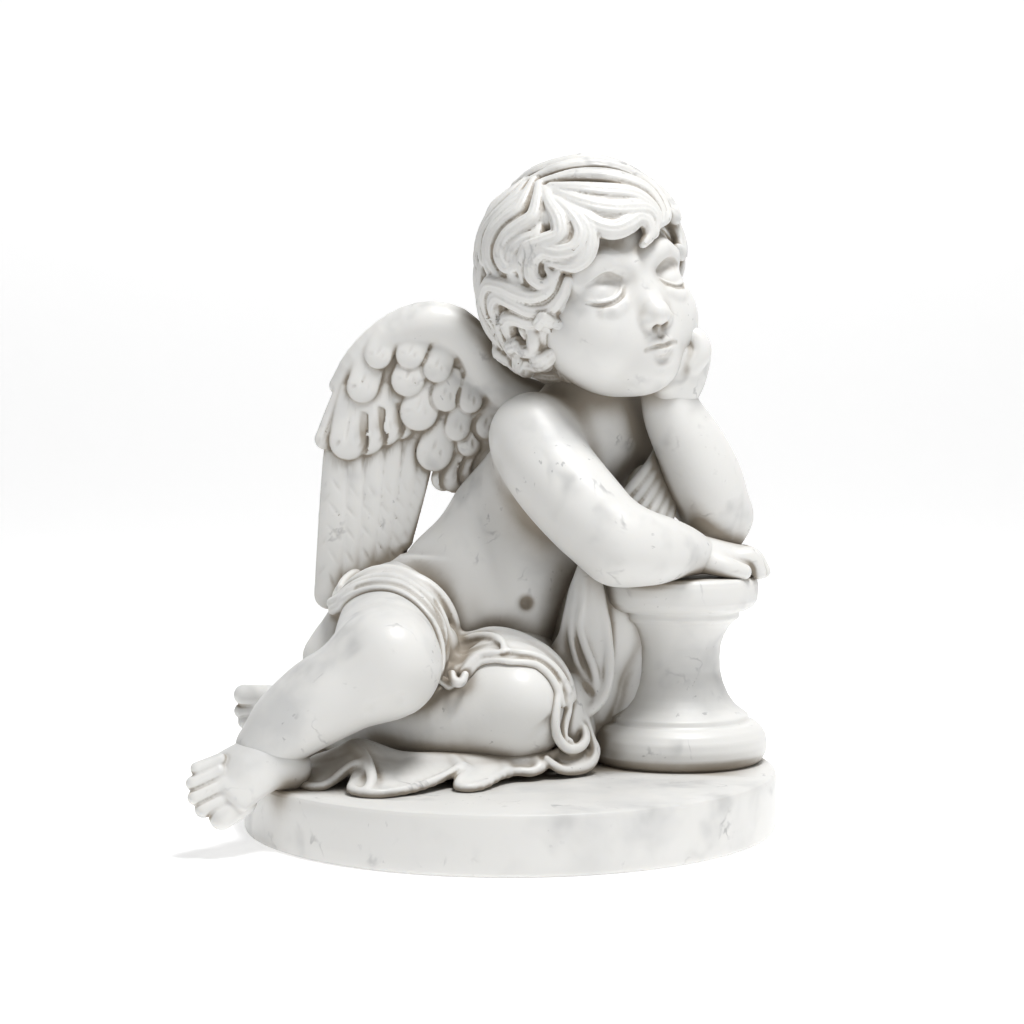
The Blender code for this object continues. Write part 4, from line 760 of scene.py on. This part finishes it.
# Scores as a start and an end, each a share of the length and a share of the half width off the middle.
SLITS = [((t, -0.1 + 0.2 * math.sin(9 * t)), (t + 0.075, 0.6)) for t in (0.34, 0.47, 0.6, 0.74, 0.88)]
SLITS += [((t, -0.2), (t + 0.06, -0.7)) for t in (0.42, 0.67, 0.83)]
RAYS = []
for aside in (-0.62, -0.12, 0.4):
    RAYS.append(((0.4 + abs(aside), 0.7 * aside), (1.0 + 0.25 * abs(aside), aside)))
# Feathers as root x and z, tip x and z, half width and how far they stand off the wing's middle.
FLIGHT_FEATHERS = (
    (-53, 200, -72, 131, 7, 0.0), (-63, 203, -80, 114, 8, 0.7), (-75, 206, -89, 104, 8.5, 1.4),
    (-87, 209, -98, 98, 8.8, 2.1), (-100, 211, -108, 95, 9, 2.8), (-111, 216, -118.5, 93, 9.6, 3.5),
)
COVERTS = (
    (-36, 206, -45, 170, 8, 1.5), (-28, 204, -38, 169, 9, 2.2), (-18, 204, -27, 172, 8, 2.6),
    (-10, 204, -18, 175, 8, 3), (-104, 244, -122, 197, 6.5, 3.6), (-70, 240, -72, 203, 10.5, 4.4),
    (-79, 238, -82, 199, 12, 5.0), (-90, 238, -94, 193, 13, 5.6), (-99, 236, -106, 190, 12.5, 6.4),
    (-43, 214, -52, 183, 12, 5.2), (-24, 222, -27.5, 192, 8, 5.6), (-12, 224, -17, 203, 8, 6.0),
    (-30, 230, -35.5, 202, 8.5, 6.8), (-53, 240, -62, 209, 12.5, 7.4), (-88, 256, -98, 227, 10.5, 8.2),
    (-38, 248, -43, 221, 9.5, 8.0), (-60, 258, -69, 231, 11, 8.8), (-22, 246, -27, 220, 8, 8.4),
    (-42, 262, -50, 240, 9.5, 9.6), (-78, 270, -88, 249, 9, 10.2), (-58, 270, -68, 249, 9.5, 10.6),
)


def wing(stone, place):
    """A wing as a round leading edge, a web and rows of feathers on both faces, set out in x and z."""
    across = place(0, 0, 1) - place(0, 0, 0)
    webs = ((((-30, 262), (-50, 235), (-80, 215)), (26, 34, 32)),
            (((-2, 230), (-18, 206), (-34, 192)), (13, 17, 12)),
            (((-60, 262), (-82, 250), (-100, 230)), (18, 18, 14)),
            (((-10, 214), (-30, 210), (-52, 204)), (14, 16, 14)))
    for line, half in webs:
        stone.ribbon([place(x, z, 0) for x, z in line], across, half, [8, 6, 4.5], k=8)
    for side in (1, -1):
        for x, z, tip_x, tip_z, half, stand in FLIGHT_FEATHERS:
            feather(stone, place, (x, z), (tip_x, tip_z), half, stand, 3.2, side, SLITS)
        for x, z, tip_x, tip_z, half, stand in COVERTS:
            feather(stone, place, (x, z), (tip_x, tip_z), half, stand, 2.8, side, RAYS)
    for first, second in zip(FLIGHT_FEATHERS[:-1], FLIGHT_FEATHERS[1:]):
        x, z, tip_x, tip_z = 0.5 * (np.array(first[:4]) + np.array(second[:4]))
        core = [place(x, z, 0), place(0.92 * tip_x + 0.08 * x, 0.92 * tip_z + 0.08 * z, 0)]
        stone.ribbon(core, across, 7.5, 2.2)
    for line, half in webs:
        stone.ribbon([place(x, z, 0) for x, z in line], across, half, 3.6)
    edge = [(16, 224), (0, 232), (-14, 244), (-24, 262), (-40, 275), (-60, 276), (-80, 268), (-98, 254),
            (-111, 238)]
    stone.limb([place(x, z, 0) for x, z in edge], [17, 15, 14.5, 15, 15.5, 15, 12.5, 9.5, 6], k=2)
    stone.limb([place(x, z, 0) for x, z in ((14, 220), (2, 205), (-8, 190))], [12, 10, 7], k=8)


def right_wing(stone):
    """The right wing stands behind the right shoulder and faces the front."""
    wing(stone, right_wing_place)


def right_wing_place(x, z, out):
    """A point out in front of the right wing's middle, which bows back towards its tips."""
    return np.array([x, 47 + 0.0007 * (x + 50) ** 2 + 0.03 * (230 - z) - out, z])


def left_wing(stone):
    """The left wing mirrors the right one in the plane that halves the chest."""
    def place(x, z, out):
        point = right_wing_place(x, z, out)
        across = np.array([math.sqrt(0.5), math.sqrt(0.5), 0])
        return point - 2 * ((point - (36, 38, 0)) @ across) * across
    wing(stone, place)


carved("right_wing", (-135, 15, 85), (35, 90, 300), 1.0, 0.55, right_wing)
carved("left_wing", (5, 40, 85), (75, 215, 300), 1.0, 0.55, left_wing)

# The cloth: one length of drapery round the hips, over the lap, down beside the column and on the plinth.
# It is carved in one with the body, so its folds stand on the limbs' own skin.


def between(first, last, share):
    """The points a share of the way from one path to another, twelve of each."""
    return (1 - share) * spline(first, 12) + share * spline(last, 12)


def fold(stone, skin, points, radii, gap, k=3.0, cut=False):
    """A rolled fold laid over the skin, its middle gap off it, or a crease cut along the same way."""
    count = 6 * len(points)
    path, _ = skin.lay(points, gap, count)
    stone.limb(path, eased(radii, count), k=k, count=count, cut=cut)


def sheet(stone, skin, points, half, deep, gap, k=2.0):
    """A strip of cloth laid flat over the skin."""
    count = 6 * len(points)
    path, outward = skin.lay(points, gap, count)
    half = eased(np.broadcast_to(half, (len(points),)), count)
    stone.ribbon(path, outward, half, deep, k=k, count=count)


def cloth(stone):
    """One length of cloth: round the hips, over the lap, down beside the column, spread on the plinth,
    and up behind the left arm."""
    skin = Stone((-205, -140, -34), (185, 222, 404), 2.5)
    torso(skin)
    legs(skin)
    cloth_behind(stone, skin)
    cloth_beside_column(stone)
    cloth_on_plinth(stone)
    cloth_on_hip(stone, skin)
    cloth_on_lap(stone, skin)
    cloth_beside_knee(stone)
    cloth_on_chest(stone)


def cloth_behind(stone, skin):
    """The fall of cloth behind the hips, in broad upright folds down to the plinth."""
    stone.egg((-40, 50, 40), (64, 44, 50), k=8)
    stone.egg((28, 40, 44), (34, 34, 44), k=10)
    stone.egg((-30, 50, 14), (78, 52, 44), k=6)
    hem = ((-112, 22), (-108, 40), (-97, 57), (-82, 71), (-62, 83), (-40, 92), (-16, 98), (8, 97), (31, 88),
           (50, 70))
    for i, (x, y) in enumerate(hem):
        top = 102 - 2.2 * i
        bulge = 6 + 3 * math.sin(2.1 * i)
        lean = 5 * math.sin(1.3 * i)
        out = unit((x + 30, y - 20, 0))
        foot = np.array([x, y, 0])
        path = [foot - 14 * out + (0, 0, top), foot + (lean, 0, top - 24)]
        path += [foot + 0.5 * bulge * out + (-lean, 0, 0.45 * top)]
        path += [foot + bulge * out + (0, 0, 12), foot + (bulge + 6) * out + (0, 0, 1)]
        stone.limb(path, [4, 6, 7, 7.5, 8], k=5)
        crease = [point + 7 * np.cross((0, 0, 1), out) + 3 * out for point in path[1:]]
        stone.limb(crease, [1, 2.2, 2.6, 2], k=4, cut=True)
    band = [(-106, 26, 100), (-96, 48, 108), (-74, 70, 108), (-40, 88, 100), (-4, 98, 92), (28, 90, 88),
            (50, 60, 90), (50, 20, 92)]
    sheet(stone, skin, band, 9, 5, 1, k=4)
    for rise, radius in ((8, 3.2), (1, 2.6), (-7, 3.0)):
        fold(stone, skin, [(x, y, z + rise) for x, y, z in band],
             [2, 3, radius, radius, radius, radius, 3, 2], 4.5)


def cloth_on_hip(stone, skin):
    """The band over the root of the right thigh: a rolled upper hem, a thin lower one, folds between that
    gather in a knot at the left end and run down into the pocket between the thighs."""
    hem = [(-110, 16, 102), (-99, 10, 112), (-88, 6, 118), (-76, 1, 121), (-62, -6, 119), (-50, -8, 112),
           (-42, -10, 105), (-36, -11, 95), (-33, -12, 85), (-30, -18, 78)]
    low = [(-111, 10, 98), (-103, -8, 101), (-92, -27, 107), (-80, -36, 110), (-69, -41, 109),
           (-60, -47, 104), (-53, -52, 98), (-47, -54, 92), (-43, -56, 84), (-40, -58, 75), (-38, -60, 67),
           (-35, -61, 61)]
    for share in (0.2, 0.5, 0.8):
        sheet(stone, skin, between(hem, low, share), [4, 6, 7, 8, 8, 8, 8, 7.5, 7, 6.5, 6, 5], 3.0, 0.3,
              k=4)
    fold(stone, skin, between(hem, low, 0.72), [3, 3, 2.6, 2.2, 2, 2.4, 3, 3.6, 4, 4, 3.6, 3], 2.0, k=5)
    fold(stone, skin, between(hem, low, 0.45), [3.2, 3.2, 2.6, 1.8, 1.4, 1.6, 2.6, 3.2, 3.6, 3.6, 3.2, 2.6],
         2.6, k=4)
    fold(stone, skin, between(hem, low, 0.0), [3.4, 3.4, 3.3, 3.3, 3.2, 3.2, 3.4, 3.6, 3.6, 3.6, 3.4, 3.2],
         1.6, k=2.5)
    fold(stone, skin, between(hem, low, 0.21), [1.4, 1.6, 1.6, 1.4, 1.2, 1.3, 1.6, 1.8, 1.8, 1.8, 1.6, 1.2],
         4.6, k=3, cut=True)
    fold(stone, skin, between(hem, low, 0.98), [3.0, 2.6, 2.0, 1.8, 1.8, 1.9, 2.1, 2.3, 2.5, 2.7, 2.8, 2.8],
         1.2, k=1.5)
    fold(stone, skin, between(hem, low, 0.86)[2:], [0.5, 0.9, 0.9, 0.8, 1.0, 1.2, 1.3, 1.3, 1.2, 1.0], 3.8,
         k=2.5, cut=True)
    stone.egg((-38, -22, 74), (7, 18, 14), k=5)
    knot = [(-112, 8, 101), (-106, 2, 104), (-98, -9, 107), (-89, -16, 111)]
    stone.limb(knot, [3.6, 3.4, 2.8, 1.2], k=1.5)
    stone.limb([(-111, 4, 97), (-104, -6, 101), (-97, -18, 105)], [3.4, 3.0, 1.4], k=1.5)
    fall = [(-108, 12, 97), (-112, 13, 86), (-116, 12, 76), (-119, 10, 66), (-117, 8, 56)]
    stone.ribbon(fall, (-0.3, -1, 0), [5, 8, 11, 13, 11], [4, 5, 5, 5, 5], k=4)
    stone.limb(fall, [2.6, 3.2, 3.4, 3.6, 3], k=2)
    stone.limb([(x + 8, y - 4, z) for x, y, z in fall], [2.4, 2.8, 3, 3.2, 3], k=2)
    tuck = [(-45.88, -30, 106), (-42, -40, 92), (-39, -46, 80), (-37, -54, 68)]
    fold(stone, skin, tuck, [0.5, 1.1, 1.1, 0.6], 5.0, k=2.5, cut=True)
    fold(stone, skin, [(-58, -34, 112), (-50, -40, 102), (-45, -46, 92)], [0.5, 0.9, 0.9], 5.0, k=2.5,
         cut=True)


def cloth_on_lap(stone, skin):
    """Folds that fan from the pocket between the thighs and cross the root of the left thigh."""
    upper = [(-29, -10, 81), (-21, -12, 82), (-12, -15, 84), (-2, -20, 84), (8, -27, 82), (15, -32, 79),
             (22, -33, 74), (28, -36, 67), (32, -38, 58), (34, -40, 48)]
    lower = [(-34, -61, 62), (-30, -60, 67), (-21, -54, 72), (-10, -55, 73), (0, -58, 72), (8, -57, 71),
             (16, -54, 69), (23, -54, 63), (29, -54, 54), (31, -53, 46)]
    for share in (0.15, 0.45, 0.75):
        sheet(stone, skin, between(upper, lower, share), [5, 6, 7, 8, 8, 8, 8, 8, 8, 7, 7, 6], 3.0, 0.6,
              k=4)
    fold(stone, skin, upper, [3.2, 3.2, 3.2, 3.2, 3.2, 3.4, 3.4, 3.6, 3.6, 3.4], 2.2, k=4)
    fold(stone, skin, lower, [3.2, 2.8, 2.2, 2.0, 2.0, 2.1, 2.3, 2.6, 2.8, 3.0], 1.6, k=1.5)
    fold(stone, skin, between(upper, lower, 0.86)[2:], [0.6, 1.0, 1.1, 1.1, 1.1, 1.1, 1.2, 1.2, 1.1, 0.9],
         4.4, k=2.5, cut=True)
    ridge = [(-3, -50, 76), (5, -52, 75), (12, -51, 74), (20, -49, 70), (27, -48, 62), (32, -47, 52)]
    fold(stone, skin, ridge, [1.2, 2.2, 2.4, 2.6, 2.8, 2.8], 4.0, k=2)
    loop = [(-31, -14, 76), (-26, -16, 78), (-18, -21, 81), (-10, -32, 82), (-5, -44, 80), (-3, -52, 76)]
    fold(stone, skin, loop, [2.8, 3.0, 3.0, 3.0, 2.8, 2.0], 4.2, k=1.5)
    turn = [(-4, -52, 75), (-9, -52, 75), (-17, -50, 74), (-24, -52, 71), (-30, -56, 66)]
    fold(stone, skin, turn, [1.4, 2.2, 2.6, 2.8, 2.6], 4.2, k=1.5)
    hollow = [(-28, -34, 74), (-21, -38, 77), (-13, -42, 79), (-7, -47, 78)]
    fold(stone, skin, hollow, [2.4, 2.2, 1.8, 0.9], 4.6, k=2.5, cut=True)
    fold(stone, skin, [(-29, -24, 76), (-22, -30, 78), (-14, -36, 80)], [1.6, 1.6, 1.0], 5.2, k=2, cut=True)
    fan = [(0, -36, 81), (9, -38, 80), (18, -40, 75), (25, -42, 67), (30, -43, 58)]
    fold(stone, skin, fan, [0.8, 1.3, 1.5, 1.5, 1.2], 5.0, k=3, cut=True)
    pocket = [(-35, -58, 64), (-33, -62, 60), (-29, -62, 60), (-27, -60, 64)]
    stone.limb(pocket, [2.8, 3.0, 3.0, 2.4], k=2)


def cloth_beside_knee(stone):
    """The fall to the right of the left knee, pleated in a zigzag at its foot."""
    stone.egg((37, -16, 30), (12, 24, 30), k=4)
    stone.egg((40, 0, 20), (14, 34, 22), k=4)
    left = [(29, -52, 56), (28, -57, 46), (27, -58, 35), (29, -56, 25), (35, -52, 18), (42, -46, 18),
            (46, -40, 22), (45, -36, 28), (41, -34, 31)]
    stone.limb(left, [2.6, 2.8, 3.0, 3.0, 3.2, 3.2, 3.0, 2.6, 1.6], k=1.5, count=60)
    middle = [(35, -45, 50), (35, -46, 41), (33, -48, 32), (33, -50, 25), (37, -48, 22)]
    stone.limb(middle, [2.6, 2.8, 2.6, 2.2, 1.6], k=2)
    right = [(38, -34, 46), (42, -32, 38), (46, -30, 32), (49, -32, 22), (52, -34, 14), (49, -40, 7),
             (41, -48, 4.5), (32, -54, 5.5), (26, -56, 9), (22, -56, 13)]
    stone.limb(right, [2.4, 2.8, 3.0, 3.2, 3.4, 3.2, 3.0, 2.8, 2.8, 2.0], k=1.5, count=60)
    stone.ribbon([(30, -48, 12), (40, -42, 10), (48, -30, 10)], (0.4, -0.7, 0.7), [7, 9, 7], [3, 4, 4], k=3)


def cloth_beside_column(stone):
    """The end that hangs from the forearm, between the belly and the column, and swings up in a loop."""
    stone.egg((50, 22, 62), (24, 32, 62), k=10)
    stone.egg((62, 10, 90), (22, 18, 34), k=10)
    shaft = [(82, 31, 18), (82, 29, 40), (82, 29, 62), (82, 29, 84), (82, 30, 106)]
    stone.limb(shaft, [36, 28, 25, 27, 34], k=4)
    left = [(44, -10, 124), (39, -11, 108), (36, -11, 93), (33, -9, 82), (28, -6, 73), (30, -10, 66),
            (36, -14, 57), (38, -18, 47), (38, -22, 40)]
    right = [(53, -10, 120), (56, -12, 107), (58, -14, 95), (60, -15, 82), (61, -17, 68), (60, -19, 55),
             (56, -22, 45), (49, -25, 38), (42, -26, 36), (37, -24, 41)]
    for share in (0.2, 0.5, 0.8):
        path = between(left, right, share)
        stone.ribbon(path, (0, -1, 0), [4, 6, 7, 8, 8, 8, 8, 8, 8, 7, 6, 5], 4, k=4, count=50)
    stone.limb(right, [2.6, 3.0, 3.2, 3.4, 3.6, 3.8, 4.0, 4.0, 3.8, 3.0], k=1.5, count=70)
    stone.limb(left, [2.4, 2.8, 3.0, 3.0, 2.8, 2.6, 3.0, 3.2, 3.0], k=2, count=60)
    middle = [(47, -13, 120), (45, -15, 104), (43, -16, 90), (46, -18, 77), (51, -20, 64), (53, -21, 53),
              (52, -23, 45)]
    stone.limb(middle, [2.2, 2.6, 2.8, 2.8, 2.8, 2.6, 2.0], k=2, count=50)
    inner = [(41, -13, 111), (39, -14, 98), (38, -15, 84), (40, -16, 71), (44, -18, 60), (49, -21, 51)]
    stone.limb(inner, [1.8, 2.2, 2.4, 2.4, 2.2, 1.6], k=2, count=50)
    crease = [(30, -14, 70), (36, -17, 62), (43, -21, 54), (50, -25, 48)]
    stone.limb(crease, [1.2, 1.6, 1.6, 1.0], k=3, cut=True)


def cloth_on_plinth(stone):
    """Cloth spread under the legs, with a rolled hem that wanders to and fro and pleats rising from it."""
    hem = [(-124, -52, 3), (-127, -68, 3), (-124, -83, 2.5), (-117, -92, 2.5), (-110, -94, 3),
           (-104, -90, 5.5), (-98, -86, 9.5), (-93, -84, 13), (-88, -86, 14.5), (-84.5, -89, 11.5),
           (-86, -95, 7.5), (-91, -101, 5), (-91, -109, 3.5), (-84, -116, 3), (-74, -118, 3),
           (-64, -113, 3.5), (-54, -106, 4.5), (-45, -96, 6), (-37, -86, 8), (-30, -77, 10),
           (-25, -73, 9.5), (-25, -80, 7.5), (-29, -89, 5), (-30, -97, 3.5), (-24, -100, 3),
           (-16, -94, 3.5), (-9, -80, 5), (-2, -69, 6.5), (6, -64, 6.5), (13, -63, 6), (19, -57, 8),
           (23, -54, 11)]
    inner = [(-112, -46, 10), (-108, -50, 11), (-100, -54, 14), (-92, -56, 17), (-84, -56, 16),
             (-70, -56, 12), (-56, -54, 11), (-40, -52, 11), (-24, -52, 11), (-8, -48, 11), (8, -44, 12),
             (20, -36, 12)]
    stone.ribbon(inner, (0, 0, 1), 14, [5, 6, 7, 8, 7, 6, 5, 5, 5, 5, 5, 5], k=4, count=60)
    outer, back = spline(hem, 56), spline(inner, 56)
    for foot, root in zip(outer, back):
        path = [root, 0.5 * (root + foot) + (0, 0, 0.6), foot - (0, 0, 0.8)]
        stone.ribbon(path, (0, 0.1, 1), [5, 4, 3.2], [4, 2.6, 1.8], k=2.4, count=10)
    stone.limb(hem, [2.4] * 6 + [3.0] * 5 + [2.7] * 8 + [3.0] * 4 + [2.5] * 6 + [2.8] * 3, k=1.2, count=150)
    ridge = [(-94, -60, 21), (-87, -76, 18), (-82, -94, 13.5), (-80, -106, 8), (-82, -115, 4)]
    stone.limb(ridge, [3.5, 3.4, 3.2, 3.0, 2.4], k=3)
    stone.limb([(-34, -60, 13), (-31, -70, 12), (-29, -77, 10)], [1.6, 2.6, 2.4], k=4)
    stone.limb([(-3, -54, 12), (-3, -62, 9), (-2, -69, 6.5)], [1.2, 2.2, 2.0], k=4)
    stone.limb([(12, -48, 14), (16, -55, 11), (18, -59, 8)], [1.2, 2.2, 2.0], k=4)


def cloth_on_chest(stone):
    """Folds that climb from behind the right forearm to the left armpit."""
    stone.egg((86, 20, 152), (17, 17, 36), k=6)
    stone.egg((76, 14, 140), (20, 16, 20), k=6)
    for i in range(6):
        across, drop = 5.6 * i, -5.0 * i
        path = [(50 + across, -7, 146 + drop), (62 + across, -4, 159 + drop),
                (75 + 0.8 * across, 2, 173 + drop)]
        path += [(88 + 0.5 * across, 13, 188 + drop), (95 + 0.3 * across, 30, 199 + 0.8 * drop)]
        stone.limb(path, [2.6, 3.0, 3.2, 3.2, 2.8], k=1.8)


carved("cloth", (-145, -128, -12), (110, 125, 215), 1.1, 0.45, cloth)

# The column and the plinth: turned marble, left from the same block as the figure.
# Each is a profile carried round an upright axis, with the edges eased.
PLINTH_PROFILE = (
    (0, -36), (163.5, -36), (165.3, -35.3), (166, -33.6), (166, -3.2), (165.2, -1), (163, 0), (0, 0),
)
COLUMN_PROFILE = (
    (0, -1), (50, -1), (54, 2), (56.6, 7), (57, 12), (56.4, 17), (53.6, 22), (50, 25), (46.6, 26),
    (45.6, 27), (45, 30), (42, 32), (37, 36), (32.6, 42), (29.2, 50), (27.3, 58), (27, 66), (27.6, 74),
    (29.6, 80), (33, 86), (36, 89.4), (38.6, 91), (39.2, 92), (39.2, 95), (40.4, 96), (44, 96.6),
    (48, 99), (50.4, 102.6), (51, 107), (51, 112.6), (50.2, 116), (48.6, 117.6), (46, 118), (0, 118),
)
COLUMN_PLACE = (106, 18)


def turned_piece(name, profile, place, sides):
    """A profile of radii and heights, with three rows set evenly on the straight between each pair of its
    rows, carried round an upright axis in sides steps: a point at angle a is radius * cos a, radius * sin a
    beside the axis. The ends close in one point."""
    rows = np.array(profile, float)
    share = np.linspace(0, 1, 5)[1:-1]
    fine = [rows[:1]]
    for first, last in zip(rows[:-1], rows[1:]):
        fine.append(first + (last - first) * share[:, None])
        fine.append(last[None])
    rows = np.vstack(fine)[1:-1]
    angle = np.linspace(0, 2 * math.pi, sides, endpoint=False)
    x = place[0] + rows[:, :1] * np.cos(angle)
    y = place[1] + rows[:, :1] * np.sin(angle)
    z = np.broadcast_to(rows[:, 1:], x.shape)
    points = np.stack([x, y, z], -1).reshape(-1, 3)
    ring = np.arange(sides)
    beside = (ring + 1) % sides
    level = np.arange(len(rows) - 1)[:, None] * sides
    faces = np.stack([level + ring, level + beside, level + sides + beside, level + sides + ring], -1)
    points = np.vstack([points, [(*place, profile[0][1]), (*place, profile[-1][1])]])
    top = (len(rows) - 1) * sides
    foot = [(len(points) - 2, b, a) for a, b in zip(ring.tolist(), beside.tolist())]
    cap = [(len(points) - 1, top + a, top + b) for a, b in zip(ring.tolist(), beside.tolist())]
    mesh = bpy.data.meshes.new(name)
    mesh.from_pydata(in_metres(points), [], faces.reshape(-1, 4).tolist() + foot + cap)
    return finished(name, mesh)


plinth = turned_piece("plinth", PLINTH_PROFILE, (0, 0), 256)
column = turned_piece("column", COLUMN_PROFILE, COLUMN_PLACE, 160)
whole.turned(PLINTH_PROFILE, (0, 0))
whole.turned(COLUMN_PROFILE, COLUMN_PLACE)

# Dust and wax have settled in the hollows over the years: between the locks, the feathers and the folds.
# Each part's points get a hollow value that the marble's finish darkens, as dust and as painted shade.


def hollowness(stone, points, outward, reaches):
    """How far the stone closes round each point: the mean share by which the distance to the stone, a
    reach out from the surface, falls short of that reach."""
    total = 0.0
    for reach in reaches:
        total = total + np.clip(1 - stone.sample(points + outward * reach) / reach, 0, 1.5)
    return total / len(reaches)


for piece, stone in carved_parts:
    mesh = piece.data
    count = len(mesh.vertices)
    points, outward = np.empty(3 * count), np.empty(3 * count)
    mesh.vertices.foreach_get("co", points)
    mesh.vertices.foreach_get("normal", outward)
    points = (points.reshape(-1, 3) - np.array([0, 0, PLINTH_HEIGHT])) / MILLIMETRE
    outward = outward.reshape(-1, 3)
    # The hollow value drives both the dust and the painted shade in the marble's colour.
    hollow = 0.55 * hollowness(whole, points + 1.5 * outward, outward, (5, 12, 24))
    if stone is not None:
        hollow = hollow + 1.1 * hollowness(stone, points, outward, (1, 2.5, 5))
    values = mesh.attributes.new("hollow", "FLOAT", "POINT")
    values.data.foreach_set("value", np.clip(hollow, 0, 1).astype(np.float32))

# A pale studio: a sweep of white paper that curves up behind, one soft lamp high above on the right, and a
# weak one low in front. The camera stands a little above the plinth and looks down by three degrees.
floor_mesh = bpy.data.meshes.new("floor")
bend = [(2.5 + 0.8 * math.sin(a), 0.8 - 0.8 * math.cos(a)) for a in np.radians(np.arange(0, 91, 7.5))]
sweep = [(-4, 0)] + bend + [(3.3, 4)]
corners = [(x, y, z) for y, z in sweep for x in (-5, 5)]
strips = [(2 * i, 2 * i + 1, 2 * i + 3, 2 * i + 2) for i in range(len(sweep) - 1)]
floor_mesh.from_pydata(corners, [], strips)
floor_mesh.shade_smooth()
floor = bpy.data.objects.new("floor", floor_mesh)
bpy.context.scene.collection.objects.link(floor)
paper = Finish("white_paper")
paper.shader.inputs["Base Color"].default_value = (0.9, 0.9, 0.9, 1)
paper.shader.inputs["Roughness"].default_value = 0.9
paper.shader.inputs["Emission Color"].default_value = (1, 1, 1, 1)
paper.shader.inputs["Emission Strength"].default_value = 0.42
floor_mesh.materials.append(paper.material)


def lamp(name, place, aim, size, power):
    """A square soft lamp at a place, turned to face a point."""
    light = bpy.data.lights.new(name, "AREA")
    light.size = size
    light.energy = power
    holder = bpy.data.objects.new(name, light)
    holder.location = place
    away = Vector(place) - Vector(aim)
    holder.rotation_euler = away.to_track_quat("Z", "Y").to_euler()
    bpy.context.scene.collection.objects.link(holder)


lamp("key_lamp", (0.45, -0.5, 2.1), (0, 0, 0.2), 0.6, 40)
lamp("fill_lamp", (1.0, -1.6, 0.9), (0, 0, 0.2), 1.2, 2.0)
world = bpy.data.worlds.new("studio")
bpy.context.scene.world = world
bpy.context.scene.view_settings.view_transform = "Standard"
world.use_nodes = True
world.node_tree.nodes["Background"].inputs["Color"].default_value = (1, 1, 1, 1)
world.node_tree.nodes["Background"].inputs["Strength"].default_value = 0.28

camera_data = bpy.data.cameras.new("camera")
camera_data.lens = 75.94
camera_data.sensor_width = 36
camera = bpy.data.objects.new("camera", camera_data)
camera.location = (0.0012, -1.348, 0.262)
camera.rotation_euler = (math.radians(90 - 2.86), 0, 0)
bpy.context.scene.collection.objects.link(camera)
bpy.context.scene.camera = camera
